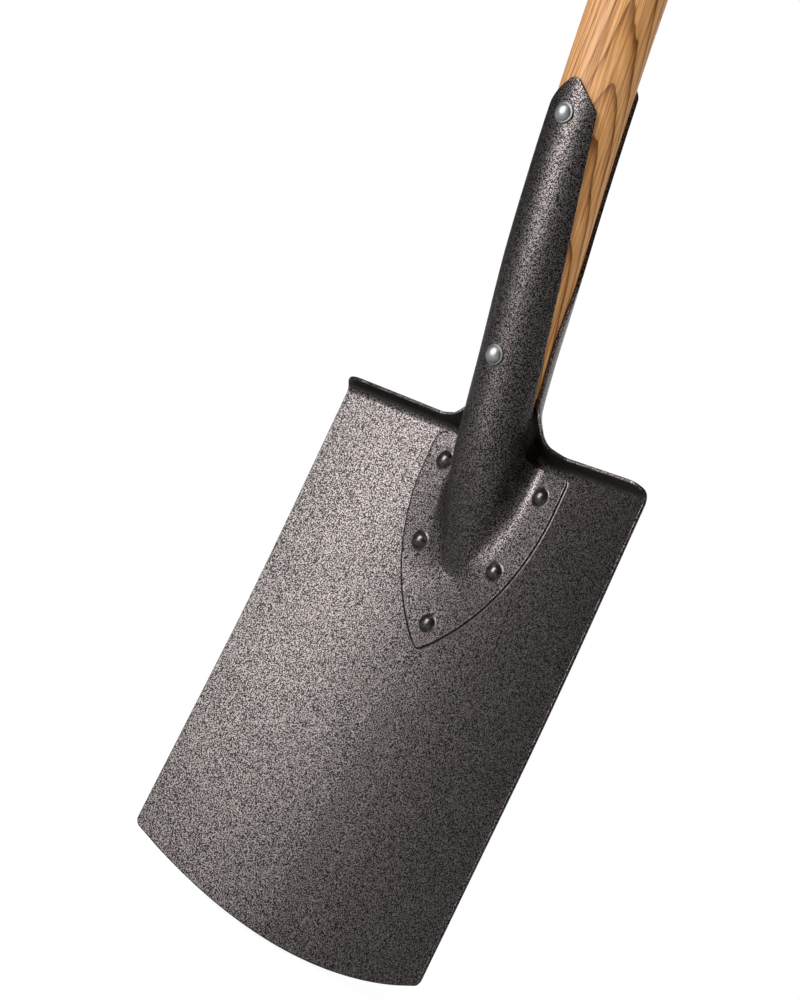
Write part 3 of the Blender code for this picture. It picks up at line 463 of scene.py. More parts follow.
def section_lengths(z):
    """Crown angle of the swelling's section, and its crown, wall, foot and plate lengths."""
    half_width, height, crown, foot, foot_width = swelling(z)
    wall = height - crown
    angle = acos(clamp((foot - wall) / crown, 0.0, 1.0))
    foot_length = pi / 4 * (foot + foot_width)
    plate = SWELLING_REACH - half_width - foot_width
    return angle, half_width * angle, max(0.0, wall - foot), foot_length, plate


def section(w, z):
    """Place across and lift off the shield, on a half section of the swelling."""
    if w >= SWELLING_REACH:
        return w, 0.0
    half_width, height, crown, foot, foot_width = swelling(z)
    crown_angle, crown_length, wall_length, foot_length, plate = section_lengths(z)
    along = w / SWELLING_REACH * (crown_length + wall_length + foot_length + plate)
    if along < crown_length:
        angle = along / crown_length * crown_angle
        return half_width * sin(angle), height - crown * (1.0 - cos(angle))
    along -= crown_length
    if along < wall_length:
        return half_width, height - crown - along
    along -= wall_length
    if along < foot_length:
        turn = along / foot_length * pi / 2
        lift = foot * (1.0 - sin(turn))
        above = max(0.0, lift - (height - crown)) / crown
        return half_width * sqrt(1.0 - above ** 2) + foot_width * (1.0 - cos(turn)), lift
    return half_width + foot_width + along - foot_length, 0.0


def front_blank_place(x, z):
    """Place in the blank of the shield's point at x and z."""
    low, high = 0.0, SWELLING_REACH
    for _ in range(HALVINGS):
        middle = (low + high) / 2
        if section(middle, z)[0] < abs(x):
            low = middle
        else:
            high = middle
    return Vector((x if abs(x) >= SWELLING_REACH else copysign(low, x), z))


def press_front(w, v):
    """Place of the blank's point (w, v) on the finished front strap and shield."""
    x, lift = section(abs(w), v)
    height = swelling(v)[1]
    front = tube_front(v) if v >= TREAD_LINE else front_base(v) - height
    dish = (shield_y(x, min(v, TREAD_LINE)) - front_base(v)) * (1.0 - lift / height)
    fade = 1.0 - ease((v - TREAD_LINE) / TREAD_FILLET)
    return Vector((copysign(x, w), front + height - lift + dish * fade - flange_rise(x, v), v))


def flange_rise(x, z):
    """How far the shield plate stands off the blade beside the swelling's foot."""
    half_width, _, _, _, foot_width = swelling(min(z, TREAD_LINE))
    inner = max(FLANGE_LEAST_WIDTH, FLANGE_FOOT_SHARE * (half_width + foot_width))
    reach = max(0.0, shield_half_width(z) - max(x, inner))
    share = passed(z, *FLANGE_START) * (1.0 - passed(z, *FLANGE_END))
    return FLANGE_SLOPE * reach * ease(x / inner) * share


def front_edge(z):
    """Half width of the front strap's blank, from the angle that the strap covers."""
    share = clamp((z - TREAD_LINE) / (FRONT_SHOULDER - TREAD_LINE), 0.0, 1.0)
    covered = mix(FRONT_COVER_LOW, FRONT_COVER_HIGH, share) * strap_radius(z, STRAP_SHEET)
    return SWELLING_REACH * covered / sum(section_lengths(z)[1:])


# Shaft and grip

def rear_face(x, z):
    """Depth that the shaft may reach at the back, up to blade and rear strap."""
    radius = strap_radius(z, BLADE_SHEET)
    round_y = axis_y(z) + sqrt(radius ** 2 - x ** 2) / cos(lean(z))
    middle = mix(blade_y(x, z), round_y, gutter_share(x, z))
    return middle - (BLADE_SHEET / 2 + SOCKET_FIT) / cos(lean(z))


def shaft_section(z):
    """Level ring of the shaft's lower end, slimmed, and trimmed to lie on the blade."""
    slim = SHAFT_END_SLIM * (1.0 - passed(z, SHAFT_SLIM_START, SHAFT_SLIM_TOP))
    if z < TREAD_LINE:
        half_width, height, _, _, _ = swelling(z)
        margin = STRAP_SHEET / 2 + SOCKET_FIT + SHAFT_END_PLAY * ease((TREAD_LINE - z) / FOOT_WIDTH)
        width = half_width - margin - slim
        front = front_base(z) - height + margin / cos(lean(z))
    else:
        width = shaft_radius(z) - slim
        front = axis_y(z) - shaft_radius(z) / cos(lean(z))
    round_depth = width / cos(lean(z))
    middle = min(front + round_depth, rear_face(width, z) - SHAFT_END_SIDE)
    ring = []
    for a in around(SHAFT_SIDES):
        x = width * sin(a)
        depth = middle - front if cos(a) > 0.0 else round_depth
        ring.append(Vector((x, min(middle - depth * cos(a), rear_face(x, z)), z)))
    return ring


def shaft_ring(z):
    """Ring of the shaft, level at the socket and square to the axis higher up."""
    tilt = lean(z) * passed(z, SHAFT_SLIM_TOP, CRANK_END)
    depth = shaft_radius(z) / cos(lean(z) - tilt)
    across = Vector((shaft_radius(z), 0.0, 0.0))
    forward = Vector((0.0, -cos(tilt), -sin(tilt))) * depth
    centre = axis_point(z)
    return [centre + across * sin(a) + forward * cos(a) for a in around(SHAFT_SIDES)]


def grip_frame():
    """Frame at the middle of the grip, with Z along the shaft."""
    up = Vector((0.0, -sin(SHAFT_LEAN_TOP), cos(SHAFT_LEAN_TOP)))
    return frame_along(up, axis_point(GRIP_HEIGHT))


def grip_radius(x):
    """Radius of the crossbar, slimmer outwards and rounded at its ends."""
    share = min(1.0, abs(x) / (GRIP_LENGTH / 2))
    body = mix(GRIP_END_DIAMETER, GRIP_DIAMETER, 0.5 + 0.5 * cos(pi * share)) / 2
    return mix(GRIP_FACE_DIAMETER / 2, body, sqrt(1.0 - share ** GRIP_END_SQUARENESS))


def strap_station(z, side):
    """Height where a rivet at z meets the front (-1) or rear (1) strap, and its sheet."""
    sheet = STRAP_SHEET if side < 0 else BLADE_SHEET
    return z + side * strap_radius(z, sheet) * sin(lean(z)), sheet


def strap_face(z, side):
    """Distance from the axis at height z to the strap's outer face."""
    station, sheet = strap_station(z, side)
    return shaft_radius(station) + SOCKET_FIT + sheet


# Outlines of the blanks

def rounded(corners):
    """Outline through corners (u, v, radius), each turned with an arc of its radius."""
    outline = []
    count = len(corners)
    for i, (u, v, radius) in enumerate(corners):
        here = Vector((u, v))
        if radius == 0.0:
            outline.append(here)
            continue
        before = (Vector(corners[i - 1][:2]) - here).normalized()
        after = (Vector(corners[(i + 1) % count][:2]) - here).normalized()
        half = before.angle(after) / 2
        centre = here + (before + after).normalized() * radius / sin(half)
        start = here + before * radius / tan(half) - centre
        turn = pi - 2 * half
        if start.x * (after.y - before.y) - start.y * (after.x - before.x) < 0.0:
            turn = -turn
        steps = max(2, ceil(abs(turn) / ARC_STEP))
        for k in range(steps + 1):
            outline.append(centre + Matrix.Rotation(turn * k / steps, 2) @ start)
    return outline


def both_sides(half):
    """Whole outline from the right half, listed from the bottom to the top."""
    left = [(-u, v, radius) for u, v, radius in reversed(half) if u > 0.0]
    return rounded(half + left)


def strap_top(edge, shoulder):
    """Pointed top of a strap."""
    width = edge(shoulder)
    return [(width, shoulder, SHOULDER_RADIUS), (0.0, shoulder + STRAP_POINT, POINT_RADIUS)]


def blade_outline():
    half_edge = BLADE_WIDTH_EDGE / 2
    arc = [u for u in span(0.0, half_edge, OUTLINE_STEP) if u < half_edge - 2 * EDGE_CORNER_RADIUS]
    half = [(u, edge_height(u), 0.0) for u in arc]
    half += [(half_edge, EDGE_BOW, EDGE_CORNER_RADIUS),
             (BLADE_WIDTH_TOP / 2, TREAD_BLANK_TOP, TREAD_CORNER_RADIUS),
             (rear_edge(FILLET_TOP), TREAD_BLANK_TOP, TREAD_FILLET)]
    rows = span(FILLET_TOP, REAR_SHOULDER, OUTLINE_STEP)[1:]
    half += [(rear_edge(z), z, 0.0) for z in rows if z < REAR_SHOULDER - SHOULDER_RADIUS]
    return both_sides(half + strap_top(rear_edge, REAR_SHOULDER))


def shield_half_width(z):
    """Half width of the shield plate, parallel above and a pointed arch below."""
    radius = arc_radius(SHIELD_ARCH_START - SHIELD_TIP, SHIELD_HALF_WIDTH)
    drop = max(0.0, SHIELD_ARCH_START - z)
    return SHIELD_HALF_WIDTH - radius + sqrt(radius ** 2 - drop ** 2)


def shield_outline():
    """Right half of the shield plate's outline, from its tip to its top."""
    rows = span(SHIELD_TIP, SHIELD_TOP - SHIELD_CORNER_RADIUS, ARCH_STEP)[1:-1]
    half = [(0.0, SHIELD_TIP, SHIELD_TIP_RADIUS)]
    half += [(shield_half_width(z), z, 0.0) for z in rows]
    half.append((SHIELD_HALF_WIDTH, SHIELD_TOP, SHIELD_CORNER_RADIUS))
    return [p for p in both_sides(half) if p.x > -FLAT]


def front_outline():
    half = [(*front_blank_place(*point), 0.0) for point in shield_outline()]
    half[0] = (0.0, half[0][1], 0.0)
    half.append((front_edge(SHIELD_TOP), SHIELD_TOP, SHIELD_NECK_RADIUS))
    lowest = SHIELD_TOP + 2 * SHIELD_NECK_RADIUS
    rows = span(lowest, FRONT_SHOULDER - 2 * SHOULDER_RADIUS, OUTLINE_STEP)
    half += [(front_edge(z), z, 0.0) for z in rows]
    return both_sides(half + strap_top(front_edge, FRONT_SHOULDER))


# Pressed sheets

def densified(line, step, closed=True):
    """Line with points no further apart than a step, joined end to end if closed."""
    points = []
    for start, end in zip(line, line[1:] + line[:1] if closed else line[1:]):
        count = max(1, ceil((end - start).length / step))
        points += [start.lerp(end, k / count) for k in range(count)]
    return points if closed else points + line[-1:]


def inward(loop):
    """Direction into the sheet at each point of an outline listed anticlockwise."""
    for before, after in zip(loop[-1:] + loop[:-1], loop[1:] + loop[:1]):
        along = (after - before).normalized()
        yield Vector((-along.y, along.x))


def grid(blocks):
    """Points of rectangular blocks, each with its ranges across and up and its steps."""
    for low_u, high_u, low_v, high_v, (step_u, step_v) in blocks:
        across = span(low_u, high_u, step_u)
        if low_u > 0.0:
            across += [-u for u in across]
        for v in span(low_v, high_v, step_v):
            yield from [Vector((u, v)) for u in across]


def flat_blank(rim, holes, blocks):
    """Triangles of the flat blank, and the loop that lies just inside its rim."""
    inner = [p + d * RIM_ROUND for p, d in zip(rim, inward(rim))]
    points, edges = [], []
    for loop in [inner] + holes:
        first = len(points)
        points += loop
        edges += [(first + k, first + (k + 1) % len(loop)) for k in range(len(loop))]
    tree = KDTree(len(points))
    for k, point in enumerate(points):
        tree.insert(point.to_3d(), k)
    tree.balance()
    points += [p for p in grid(blocks) if tree.find(p.to_3d())[2] > RIM_SPACING / 2]
    places, _, faces, origins, _, _ = delaunay_2d_cdt(points, edges, [], 2, MERGE_DISTANCE)
    known = {source: k for k, sources in enumerate(origins) for source in sources}
    return [known[k] for k in range(len(inner))], places, faces


def sheet_normal(press, u, v):
    across = press(u + NORMAL_STEP, v) - press(u - NORMAL_STEP, v)
    along = press(u, v + NORMAL_STEP) - press(u, v - NORMAL_STEP)
    return across.cross(along).normalized()


def signed_power(value, exponent):
    return copysign(abs(value) ** exponent, value)


def rim_section(sheet):
    """Rounded rim's section: each point's place and facing, out and up."""
    for turn in range(1, RIM_STEPS):
        angle = pi / 2 - pi * turn / RIM_STEPS
        out, up = cos(angle), sin(angle)
        place = (signed_power(out, RIM_SQUARENESS) * RIM_ROUND,
                 signed_power(up, RIM_SQUARENESS) * sheet / 2)
        facing = (signed_power(out, 2.0 - RIM_SQUARENESS) * sheet / 2,
                  signed_power(up, 2.0 - RIM_SQUARENESS) * RIM_ROUND)
        yield place, facing


def pressed_sheet(name, outline, holes, blocks, press, sheet, material):
    """Smooth pressed sheet with a rounded rim and exact normals."""
    rim = densified(outline, RIM_SPACING)
    inner, places, faces = flat_blank(rim, holes, blocks)
    middles = [press(*place) for place in places]
    ups = [sheet_normal(press, *place) for place in places]
    verts = [m + n * side * sheet / 2 for side in (1.0, -1.0) for m, n in zip(middles, ups)]
    normals = [n * side for side in (1.0, -1.0) for n in ups]
    count = len(places)
    polygons = [tuple(face) for face in faces]
    polygons += [tuple(k + count for k in reversed(face)) for face in faces]
    outs = []
    for point, direction in zip(rim, inward(rim)):
        beyond = point - direction * NORMAL_STEP
        outs.append((press(*beyond) - press(*point)).normalized())
    rows = [inner]
    for (out_place, up_place), (out_facing, up_facing) in rim_section(sheet):
        rows.append(list(range(len(verts), len(verts) + len(inner))))
        for out, k in zip(outs, inner):
            verts.append(middles[k] + out * out_place + ups[k] * up_place)
            normals.append((out * out_facing + ups[k] * up_facing).normalized())
    rows.append([k + count for k in inner])
    for upper, lower in zip(rows, rows[1:]):
        for k in range(len(inner)):
            polygons.append((upper[k - 1], lower[k - 1], lower[k], upper[k]))
    edges = [edge for face in faces for edge in zip(face, face[1:] + face[:1])]
    paired, rim_verts = set(edges), set(inner)
    for a, b in edges:
        if (b, a) not in paired and not rim_verts.issuperset((a, b)):
            polygons.append((b, a, a + count, b + count))
    mesh = bpy.data.meshes.new(name)
    mesh.from_pydata(verts, [], polygons)
    mesh.shade_smooth()
    mesh.normals_split_custom_set_from_vertices(normals)
    mesh.materials.append(material)
    return placed(name, mesh)


def placed(name, data):
    """Object in the scene from its data."""
    item = bpy.data.objects.new(name, data)
    bpy.context.scene.collection.objects.link(item)
    return item


def shield_rivet_places():
    """Places across and up of the five shield rivets."""
    places = {"shield_rivet_lower": (0.0, SHIELD_RIVET_LOWEST)}
    for level, (x, z) in SHIELD_RIVET_PLACES.items():
        for side, sign in (("_left", -1), ("_right", 1)):
            places["shield_rivet_" + level + side] = (sign * x, z)
    return places


def rivet_holes(side):
    """Rings round the rivet holes in the front (-1) or rear (1) strap's sheet."""
    radius = SHIELD_SHANK_DIAMETER / 2 + RIVET_CLEARANCE
    holes = [(x, z, radius, radius) for x, z in shield_rivet_places().values()]
    radius = SHAFT_SHANK_DIAMETER / 2 + RIVET_CLEARANCE
    for z in SHAFT_RIVET_STATIONS.values():
        holes.append((0.0, strap_station(z, side)[0], radius, radius * cos(lean(z))))
    return [[Vector((x + across * cos(a), z + up * sin(a))) for a in around(HOLE_SIDES)]
            for x, z, across, up in holes]


def blade_sheet(material):
    """Blade, treads and rear strap."""
    half = BLADE_WIDTH_TOP / 2
    neck = rear_edge(TREAD_BLANK_TOP) + TREAD_FILLET
    low, high = GUTTER_GRID_RANGE
    top = REAR_SHOULDER + STRAP_POINT
    blocks = [(-half, half, GRID_GAP, low, BLADE_GRID),
              (-neck, neck, low + GRID_GAP, high, GUTTER_GRID),
              (neck + GRID_GAP, half, low + GRID_GAP, TREAD_LINE - GRID_GAP, BLADE_SIDE_GRID),
              (neck + GRID_GAP, half, TREAD_LINE, TREAD_BLANK_TOP, TREAD_GRID),
              (-neck, neck, high + GRID_GAP, top, STRAP_GRID)]
    return pressed_sheet("blade_sheet", blade_outline(), rivet_holes(1), blocks, press_blade,
                         BLADE_SHEET, material)


def strap_sheet(material):
    """Front strap, swelling and shield plate."""
    wide, reach = SHIELD_HALF_WIDTH, SWELLING_REACH
    low, high = SWELLING_GRID_RANGE
    top = FRONT_SHOULDER + STRAP_POINT
    blocks = [(-wide, wide, SHIELD_TIP, low, SHIELD_GRID),
              (-reach, reach, low + GRID_GAP, high, SWELLING_GRID),
              (reach + GRID_GAP, wide, low + GRID_GAP, SHIELD_TOP, SHIELD_GRID),
              (-reach, reach, high + GRID_GAP, top, STRAP_GRID)]
    holes = [[front_blank_place(*point) for point in ring] for ring in rivet_holes(-1)]
    return pressed_sheet("strap_sheet", front_outline(), holes, blocks, press_front,
                         STRAP_SHEET, material)


# Turned and lofted pieces

def finished(name, body, material, place=None, grain=None):
    """Piece from a closed mesh, with its sharp edges and, in wood, its grain."""
    bmesh.ops.recalc_face_normals(body, faces=body.faces)
    mesh = bpy.data.meshes.new(name)
    body.to_mesh(mesh)
    body.free()
    if grain:
        field = mesh.attributes.new("grain", "FLOAT_VECTOR", "POINT")
        for vert, slot in zip(mesh.vertices, field.data):
            slot.vector = grain(vert.co)
    if place:
        mesh.transform(place)
    mesh.shade_smooth()
    mesh.set_sharp_from_angle(angle=SMOOTH_ANGLE)
    mesh.materials.append(material)
    return placed(name, mesh)


def loft(rings, joined=False):
    """Closed body through rings of points, capped at its ends or joined end to end."""
    body = bmesh.new()
    loops = [[body.verts.new(point) for point in ring] for ring in rings]
    for low, high in zip(loops, loops[1:] + loops[:1] if joined else loops[1:]):
        for i in range(len(low)):
            body.faces.new((low[i - 1], low[i], high[i], high[i - 1]))
    if not joined:
        body.faces.new(list(reversed(loops[0])))
        body.faces.new(loops[-1])
    return body


def turned(profile, sides):
    """Body turned about Z from a profile of (radius, height), closed at both ends."""
    return loft([[Vector((r * cos(a), r * sin(a), h)) for a in around(sides)]
                 for r, h in profile])


def frame_along(direction, place):
    """Frame at a place, with Z along a direction and X kept across the spade."""
    z_axis = direction.normalized()
    y_axis = z_axis.cross(Vector((1.0, 0.0, 0.0))).normalized()
    x_axis = y_axis.cross(z_axis)
    rotation = Matrix((x_axis, y_axis, z_axis)).transposed().to_4x4()
    return Matrix.Translation(place) @ rotation


def dome(radius, height, steps):
    """Profile points of a domed head, from its rim up to its crown."""
    ball = arc_radius(radius, height)
    reach = asin(min(1.0, radius / ball))
    angles = [reach * (1.0 - k / steps) for k in range(steps)]
    points = [(ball * sin(a), height - ball * (1.0 - cos(a))) for a in angles]
    return points + [(radius * DOME_TOP, height)]


def beaded_dome(radius, height):
    """Profile of a painted head: a bead of paint round its foot, then its dome."""
    head = [p for p in dome(radius, height, DOME_STEPS) if p[1] > BEAD_START]
    ball = arc_radius(radius, height)
    turn = acos(1.0 - (height - BEAD_START) / ball)
    start = Vector((ball * sin(turn), BEAD_START))
    bend_point = Vector((start.x + BEAD_START / tan(turn), 0.0))
    end = Vector((BEAD_RADIUS, 0.0))
    bead = []
    for k in range(BEAD_STEPS):
        t = k / BEAD_STEPS
        point = end * (1.0 - t) ** 2 + bend_point * 2 * t * (1.0 - t) + start * t ** 2
        bead.append((point.x, point.y - BEAD_SINK * (1.0 - t)))
    return bead + head


def shield_rivet_pieces(material):
    """The shield's five painted rivets, each on the plate's own face."""
    grip = STRAP_SHEET + SOCKET_FIT + BLADE_SHEET
    shank = SHIELD_SHANK_DIAMETER / 2
    tail = dome(SHIELD_TAIL_DIAMETER / 2, SHIELD_TAIL_HEIGHT, TAIL_STEPS)
    profile = [(r, -grip - RIVET_CLEARANCE - h) for r, h in reversed(tail)]
    profile += [(shank, -grip), (shank, -2 * BEAD_SINK)]
    profile += beaded_dome(SHIELD_HEAD_DIAMETER / 2, SHIELD_HEAD_HEIGHT + HEAD_PAINT)
    for name, (x, z) in shield_rivet_places().items():
        place = front_blank_place(x, z)
        normal = sheet_normal(press_front, *place)
        seat = frame_along(normal, press_front(*place) + normal * STRAP_SHEET / 2)
        yield finished(name + "_piece", turned(profile, RIVET_SIDES), material, seat), name


def shield_seam(name, side, width, material):
    """Fine fillet of paint along one side of the shield plate's edge."""
    edge = [p for p in shield_outline() if p.y < SHIELD_TOP - FLAT or p.x > SEAM_END]
    points = densified(edge, RIM_SPACING, closed=False)
    rings = []
    for k, point in enumerate(points):
        along = (points[min(k + 1, len(points) - 1)] - points[max(k - 1, 0)]).normalized()
        out = Vector((along.y, -along.x)) if k else Vector((0.0, -1.0))
        reach = mix(SEAM_WIDTH_TIP, width, ease((point - points[0]).length / SEAM_TAPER))
        fillet = [(-SEAM_COVER, -SEAM_DEPTH)]
        for step in range(SEAM_STEPS + 1):
            angle = pi / 2 * step / SEAM_STEPS
            fillet.append((reach * (1.0 - cos(angle)) - SEAM_OVERLAP,
                           SEAM_HEIGHT * (1.0 - sin(angle))))
        ring = []
        for offset, rise in fillet:
            place = point + out * offset
            place.x *= side
            up = sheet_normal(press_blade, *place)
            ring.append(press_blade(*place) + up * (BLADE_SHEET / 2 + rise - SEAM_SINK))
        rings.append(ring)
    return finished(name, loft(rings), material)


def washer_body(low, high):
    """Washer bent round the shaft, between two distances from its axis."""
    inner, outer = SHAFT_SHANK_DIAMETER / 2, WASHER_DIAMETER / 2
    profile = [(inner, low), (outer, low)]
    for step in range(WASHER_ROUND_STEPS, -1, -1):
        angle = pi / 2 * step / WASHER_ROUND_STEPS
        profile.append((outer - WASHER_ROUND * (1.0 - sin(angle)),
                        high - WASHER_ROUND * (1.0 - cos(angle))))
    rings = []
    for radius, height in profile + [(inner, high)]:
        places = [(radius * cos(a), radius * sin(a)) for a in around(RIVET_SIDES)]
        rings.append([Vector((x, y, sqrt(height ** 2 - x ** 2))) for x, y in places])
    return loft(rings, joined=True)


def shaft_rivet_pieces(material, washer_material):
    """The two long rivets and their bent washers."""
    shank = SHAFT_SHANK_DIAMETER / 2
    head = dome(SHAFT_HEAD_DIAMETER / 2, SHAFT_HEAD_HEIGHT, DOME_STEPS)
    for level, z in SHAFT_RIVET_STATIONS.items():
        place = frame_along(axis_forward(z), axis_point(z))
        low = strap_face(z, -1) + RIVET_CLEARANCE
        high = low + WASHER_THICKNESS
        front = high + RIVET_CLEARANCE
        back = strap_face(z, 1) + RIVET_CLEARANCE
        profile = [(r, -back - h) for r, h in reversed(head)] + [(shank, -back), (shank, front)]
        profile += [(r, front + h) for r, h in head]
        for name, body, look in (("shaft_rivet_" + level, turned(profile, RIVET_SIDES), material),
                                 ("rivet_washer_" + level, washer_body(low, high), washer_material)):
            yield finished(name + "_piece", body, look, place), name


def shaft_piece(material):
    """Ash shaft with its trimmed lower end and its tenon."""
    end = NOSE + SHAFT_END_ABOVE_NOSE
    shoulder = GRIP_HEIGHT - (GRIP_SEAT + RIVET_CLEARANCE) * cos(SHAFT_LEAN_TOP)
    low = span(end, TREAD_LINE, SHAFT_ROW)[:-1] + span(TREAD_LINE, SHAFT_SLIM_TOP, SHAFT_ROW)
    rings = [shaft_section(z) for z in low]
    rings += [shaft_ring(z) for z in span(SHAFT_SLIM_TOP, shoulder, SHAFT_ROW)[1:]]
    place = grip_frame()
    tenon = TENON_DIAMETER / 2
    crown = GRIP_DIAMETER / 2 + TENON_PROUD - WEDGE_PROUD
    turns = [Vector((tenon * sin(a), -tenon * cos(a), 0.0)) for a in around(SHAFT_SIDES)]
    rings.append([place @ (turn - Vector((0.0, 0.0, GRIP_SEAT))) for turn in turns])
    for share, sink in TENON_RINGS:
        ring = [turn * share for turn in turns]
        for point in ring:
            point.z = sqrt(crown ** 2 - point.y ** 2) - sink
        rings.append([place @ point for point in ring])
    return finished("shaft_piece", loft(rings), material,
                    grain=lambda p: (p.x, p.y - axis_y(p.z), p.z))


def crossbar_piece(material):
    """Turned ash crossbar with a level seat for the shaft's shoulder."""
    half = GRIP_LENGTH / 2
    rings = []
    for step in range(-GRIP_STEPS, GRIP_STEPS + 1):
        x = half * sin(pi / 2 * step / GRIP_STEPS)
        radius = grip_radius(x)
        droop = GRIP_DROOP * (x / half) ** 2
        rings.append([Vector((x, radius * cos(a), radius * sin(a) - droop))
                      for a in around(GRIP_SIDES)])
    item = finished("grip_crossbar_piece", loft(rings), material)
    seat = GRIP_SEAT_DIAMETER / 2
    below_seat = turned([(seat, -GRIP_DIAMETER), (seat, -GRIP_SEAT)], GRIP_SIDES)
    cutter = finished("seat_cut", below_seat, material)
    cut = item.modifiers.new("seat", "BOOLEAN")
    cut.object = cutter
    bpy.context.view_layer.update()
    graph = bpy.context.evaluated_depsgraph_get()
    body = bmesh.new()
    body.from_mesh(bpy.data.meshes.new_from_object(item.evaluated_get(graph)))
    bpy.data.objects.remove(item)
    bpy.data.objects.remove(cutter)
    return finished("grip_crossbar_piece", body, material, grip_frame(),
                    lambda p: Vector((p.y, p.z, p.x)) + GRIP_GRAIN)


def wedge_piece(material):
    """Wedge that spreads the tenon, flush with the grip's roundness."""
    crown = GRIP_DIAMETER / 2 + TENON_PROUD
    low, narrow, wide = crown - WEDGE_DEPTH, WEDGE_BOTTOM / 2, WEDGE_TOP / 2
    rings = []
    for y in span(-WEDGE_WIDTH / 2, WEDGE_WIDTH / 2, WEDGE_ROW):
        top = sqrt(crown ** 2 - y ** 2)
        corners = ((-narrow, low), (narrow, low), (wide, top), (-wide, top))
        rings.append([Vector((x, y, height)) for x, height in corners])
    return finished("grip_wedge_piece", loft(rings), material, grip_frame(),
                    lambda p: Vector((p.z, p.x, p.y)) + WEDGE_GRAIN)


def pin_piece(material):
    """Headless pin across crossbar and tenon."""
    half = sqrt((GRIP_DIAMETER / 2) ** 2 - (PIN_DROP + PIN_DIAMETER / 2) ** 2)
    radius = PIN_DIAMETER / 2
    end = radius - PIN_CHAMFER
    profile = [(end, -half), (radius, PIN_CHAMFER - half), (radius, half - PIN_CHAMFER), (end, half)]
    across = Matrix.Translation((0.0, 0.0, -PIN_DROP)) @ Matrix.Rotation(pi / 2, 4, "X")
    return finished("grip_pin_piece", turned(profile, RIVET_SIDES), material, grip_frame() @ across)


# Materials

class Nodes:
    """Short way to add and join shader nodes."""

    def __init__(self, owner):
        owner.use_nodes = True
        self.owner = owner
        self.tree = owner.node_tree
        self.shader = self.tree.nodes.get("Principled BSDF")

    def fill(self, node, inputs):
        """Join a node's inputs to sockets, or set them to plain values."""
        for key, value in inputs.items():
            if isinstance(value, bpy.types.NodeSocket):
                self.tree.links.new(value, node.inputs[key])
            else:
                node.inputs[key].default_value = value

    def add(self, kind, inputs=None, **settings):
        """Outputs of a new node."""
        node = self.tree.nodes.new(kind)
        for key, value in settings.items():
            setattr(node, key, value)
        self.fill(node, inputs or {})
        return node.outputs

    def look(self, inputs):
        """Owner, once its shader's inputs are filled."""
        self.fill(self.shader, inputs)
        return self.owner

    def position(self):
        return self.add("ShaderNodeNewGeometry")["Position"]

    def coordinate(self, vector, axis):
        return self.add("ShaderNodeSeparateXYZ", {0: vector})[axis]

    def math(self, operation, a, b):
        return self.add("ShaderNodeMath", {0: a, 1: b}, operation=operation)[0]

    def multiply(self, a, b):
        return self.math("MULTIPLY", a, b)

    def vector(self, operation, *inputs):
        return self.add("ShaderNodeVectorMath", dict(enumerate(inputs)), operation=operation)

    def length(self, vector):
        return self.vector("LENGTH", vector)["Value"]

    def share(self, value, start, end, kind="SMOOTHSTEP"):
        """Share, from 0 to 1, of the way of a value from start to end."""
        return self.add("ShaderNodeMapRange", {"Value": value, "From Min": start, "From Max": end},
                        interpolation_type=kind)[0]

    def noise(self, place, scale, detail):
        return self.add("ShaderNodeTexNoise", {"Vector": place, "Scale": scale, "Detail": detail})["Fac"]

    def ramp(self, factor, stops):
        """Colour between stops, each a position and a colour."""
        node = self.tree.nodes.new("ShaderNodeValToRGB")
        self.fill(node, {"Fac": factor})
        elements = node.color_ramp.elements
        while len(elements) < len(stops):
            elements.new(0.5)
        for element, (position, colour) in zip(elements, stops):
            element.position = position
            element.color = (*colour, 1.0)
        return node.outputs["Color"]

    def blend(self, factor, low, high, kind="MIX"):
        return self.add("ShaderNodeMix", {"Factor": factor, 6: low, 7: high}, data_type="RGBA",
                        blend_type=kind)[2]

    def bump(self, height, strength, distance, invert=False):
        return self.add("ShaderNodeBump", {"Height": height, "Strength": strength, "Distance": distance},
                        invert=invert)["Normal"]

    def mixed(self, share, a, b):
        """Mix of two shaders."""
        return self.add("ShaderNodeMixShader", {0: share, 1: a, 2: b})[0]

    def rays(self, vector, start, end):
        """Whether a ray is glossy, is seen, or is either seen or glossy and far behind."""
        path = self.add("ShaderNodeLightPath")
        glossy = path["Is Glossy Ray"]
        seen = self.math("MAXIMUM", path["Is Camera Ray"], path["Is Transmission Ray"])
        behind = self.share(self.coordinate(vector, "Y"), start, end)
        return glossy, seen, self.math("MAXIMUM", seen, self.multiply(glossy, behind))


def new_material(name):
    return Nodes(bpy.data.materials.new(name))


def hammered_enamel():
    """Colour follows the bump's height: pits painted dark as shade and mounds painted bright as glints,
    over the enamel's own mottle. Where the sheet faces down it is smooth and of even colour, painted shade
    on the undersides.
    """
    nodes = new_material("hammered_enamel")
    place = nodes.position()
    cells = nodes.add("ShaderNodeTexVoronoi", {"Vector": place, "Scale": CELL_SCALE, "Randomness": 0.9})
    mound = nodes.math("SUBTRACT", 0.95, cells["Distance"])
    grain = nodes.noise(place, GRAIN_SCALE, 0.0)
    height = nodes.math("ADD", nodes.multiply(grain, 1.3), nodes.multiply(mound, 0.6))
    # Painted shade in the pits and painted glints on the mounds, over the enamel's own mottle.
    flakes_and_painted_light = nodes.ramp(height, [(0.72, (0.014, 0.012, 0.012)), (0.96, (0.081, 0.071, 0.070)),
                                 (1.0, (0.352, 0.308, 0.302))])
    # Where the sheet faces down, the speckle gives way to an even colour and a fainter bump: painted shade
    # on the undersides.
    facing = nodes.add("ShaderNodeNewGeometry")["True Normal"]
    underside_painted_shade = nodes.share(nodes.coordinate(facing, "Z"), -0.35, -0.8)
    depth = nodes.multiply(nodes.math("SUBTRACT", 1.0, underside_painted_shade), 0.25)
    return nodes.look({
        "Base Color": nodes.blend(underside_painted_shade, flakes_and_painted_light, (0.085, 0.077, 0.074, 1.0)),
        "Normal": nodes.bump(height, depth, 0.00015),
        "Metallic": 1.0, "Roughness": 0.42, "Coat Weight": 0.35, "Coat Roughness": 0.45})


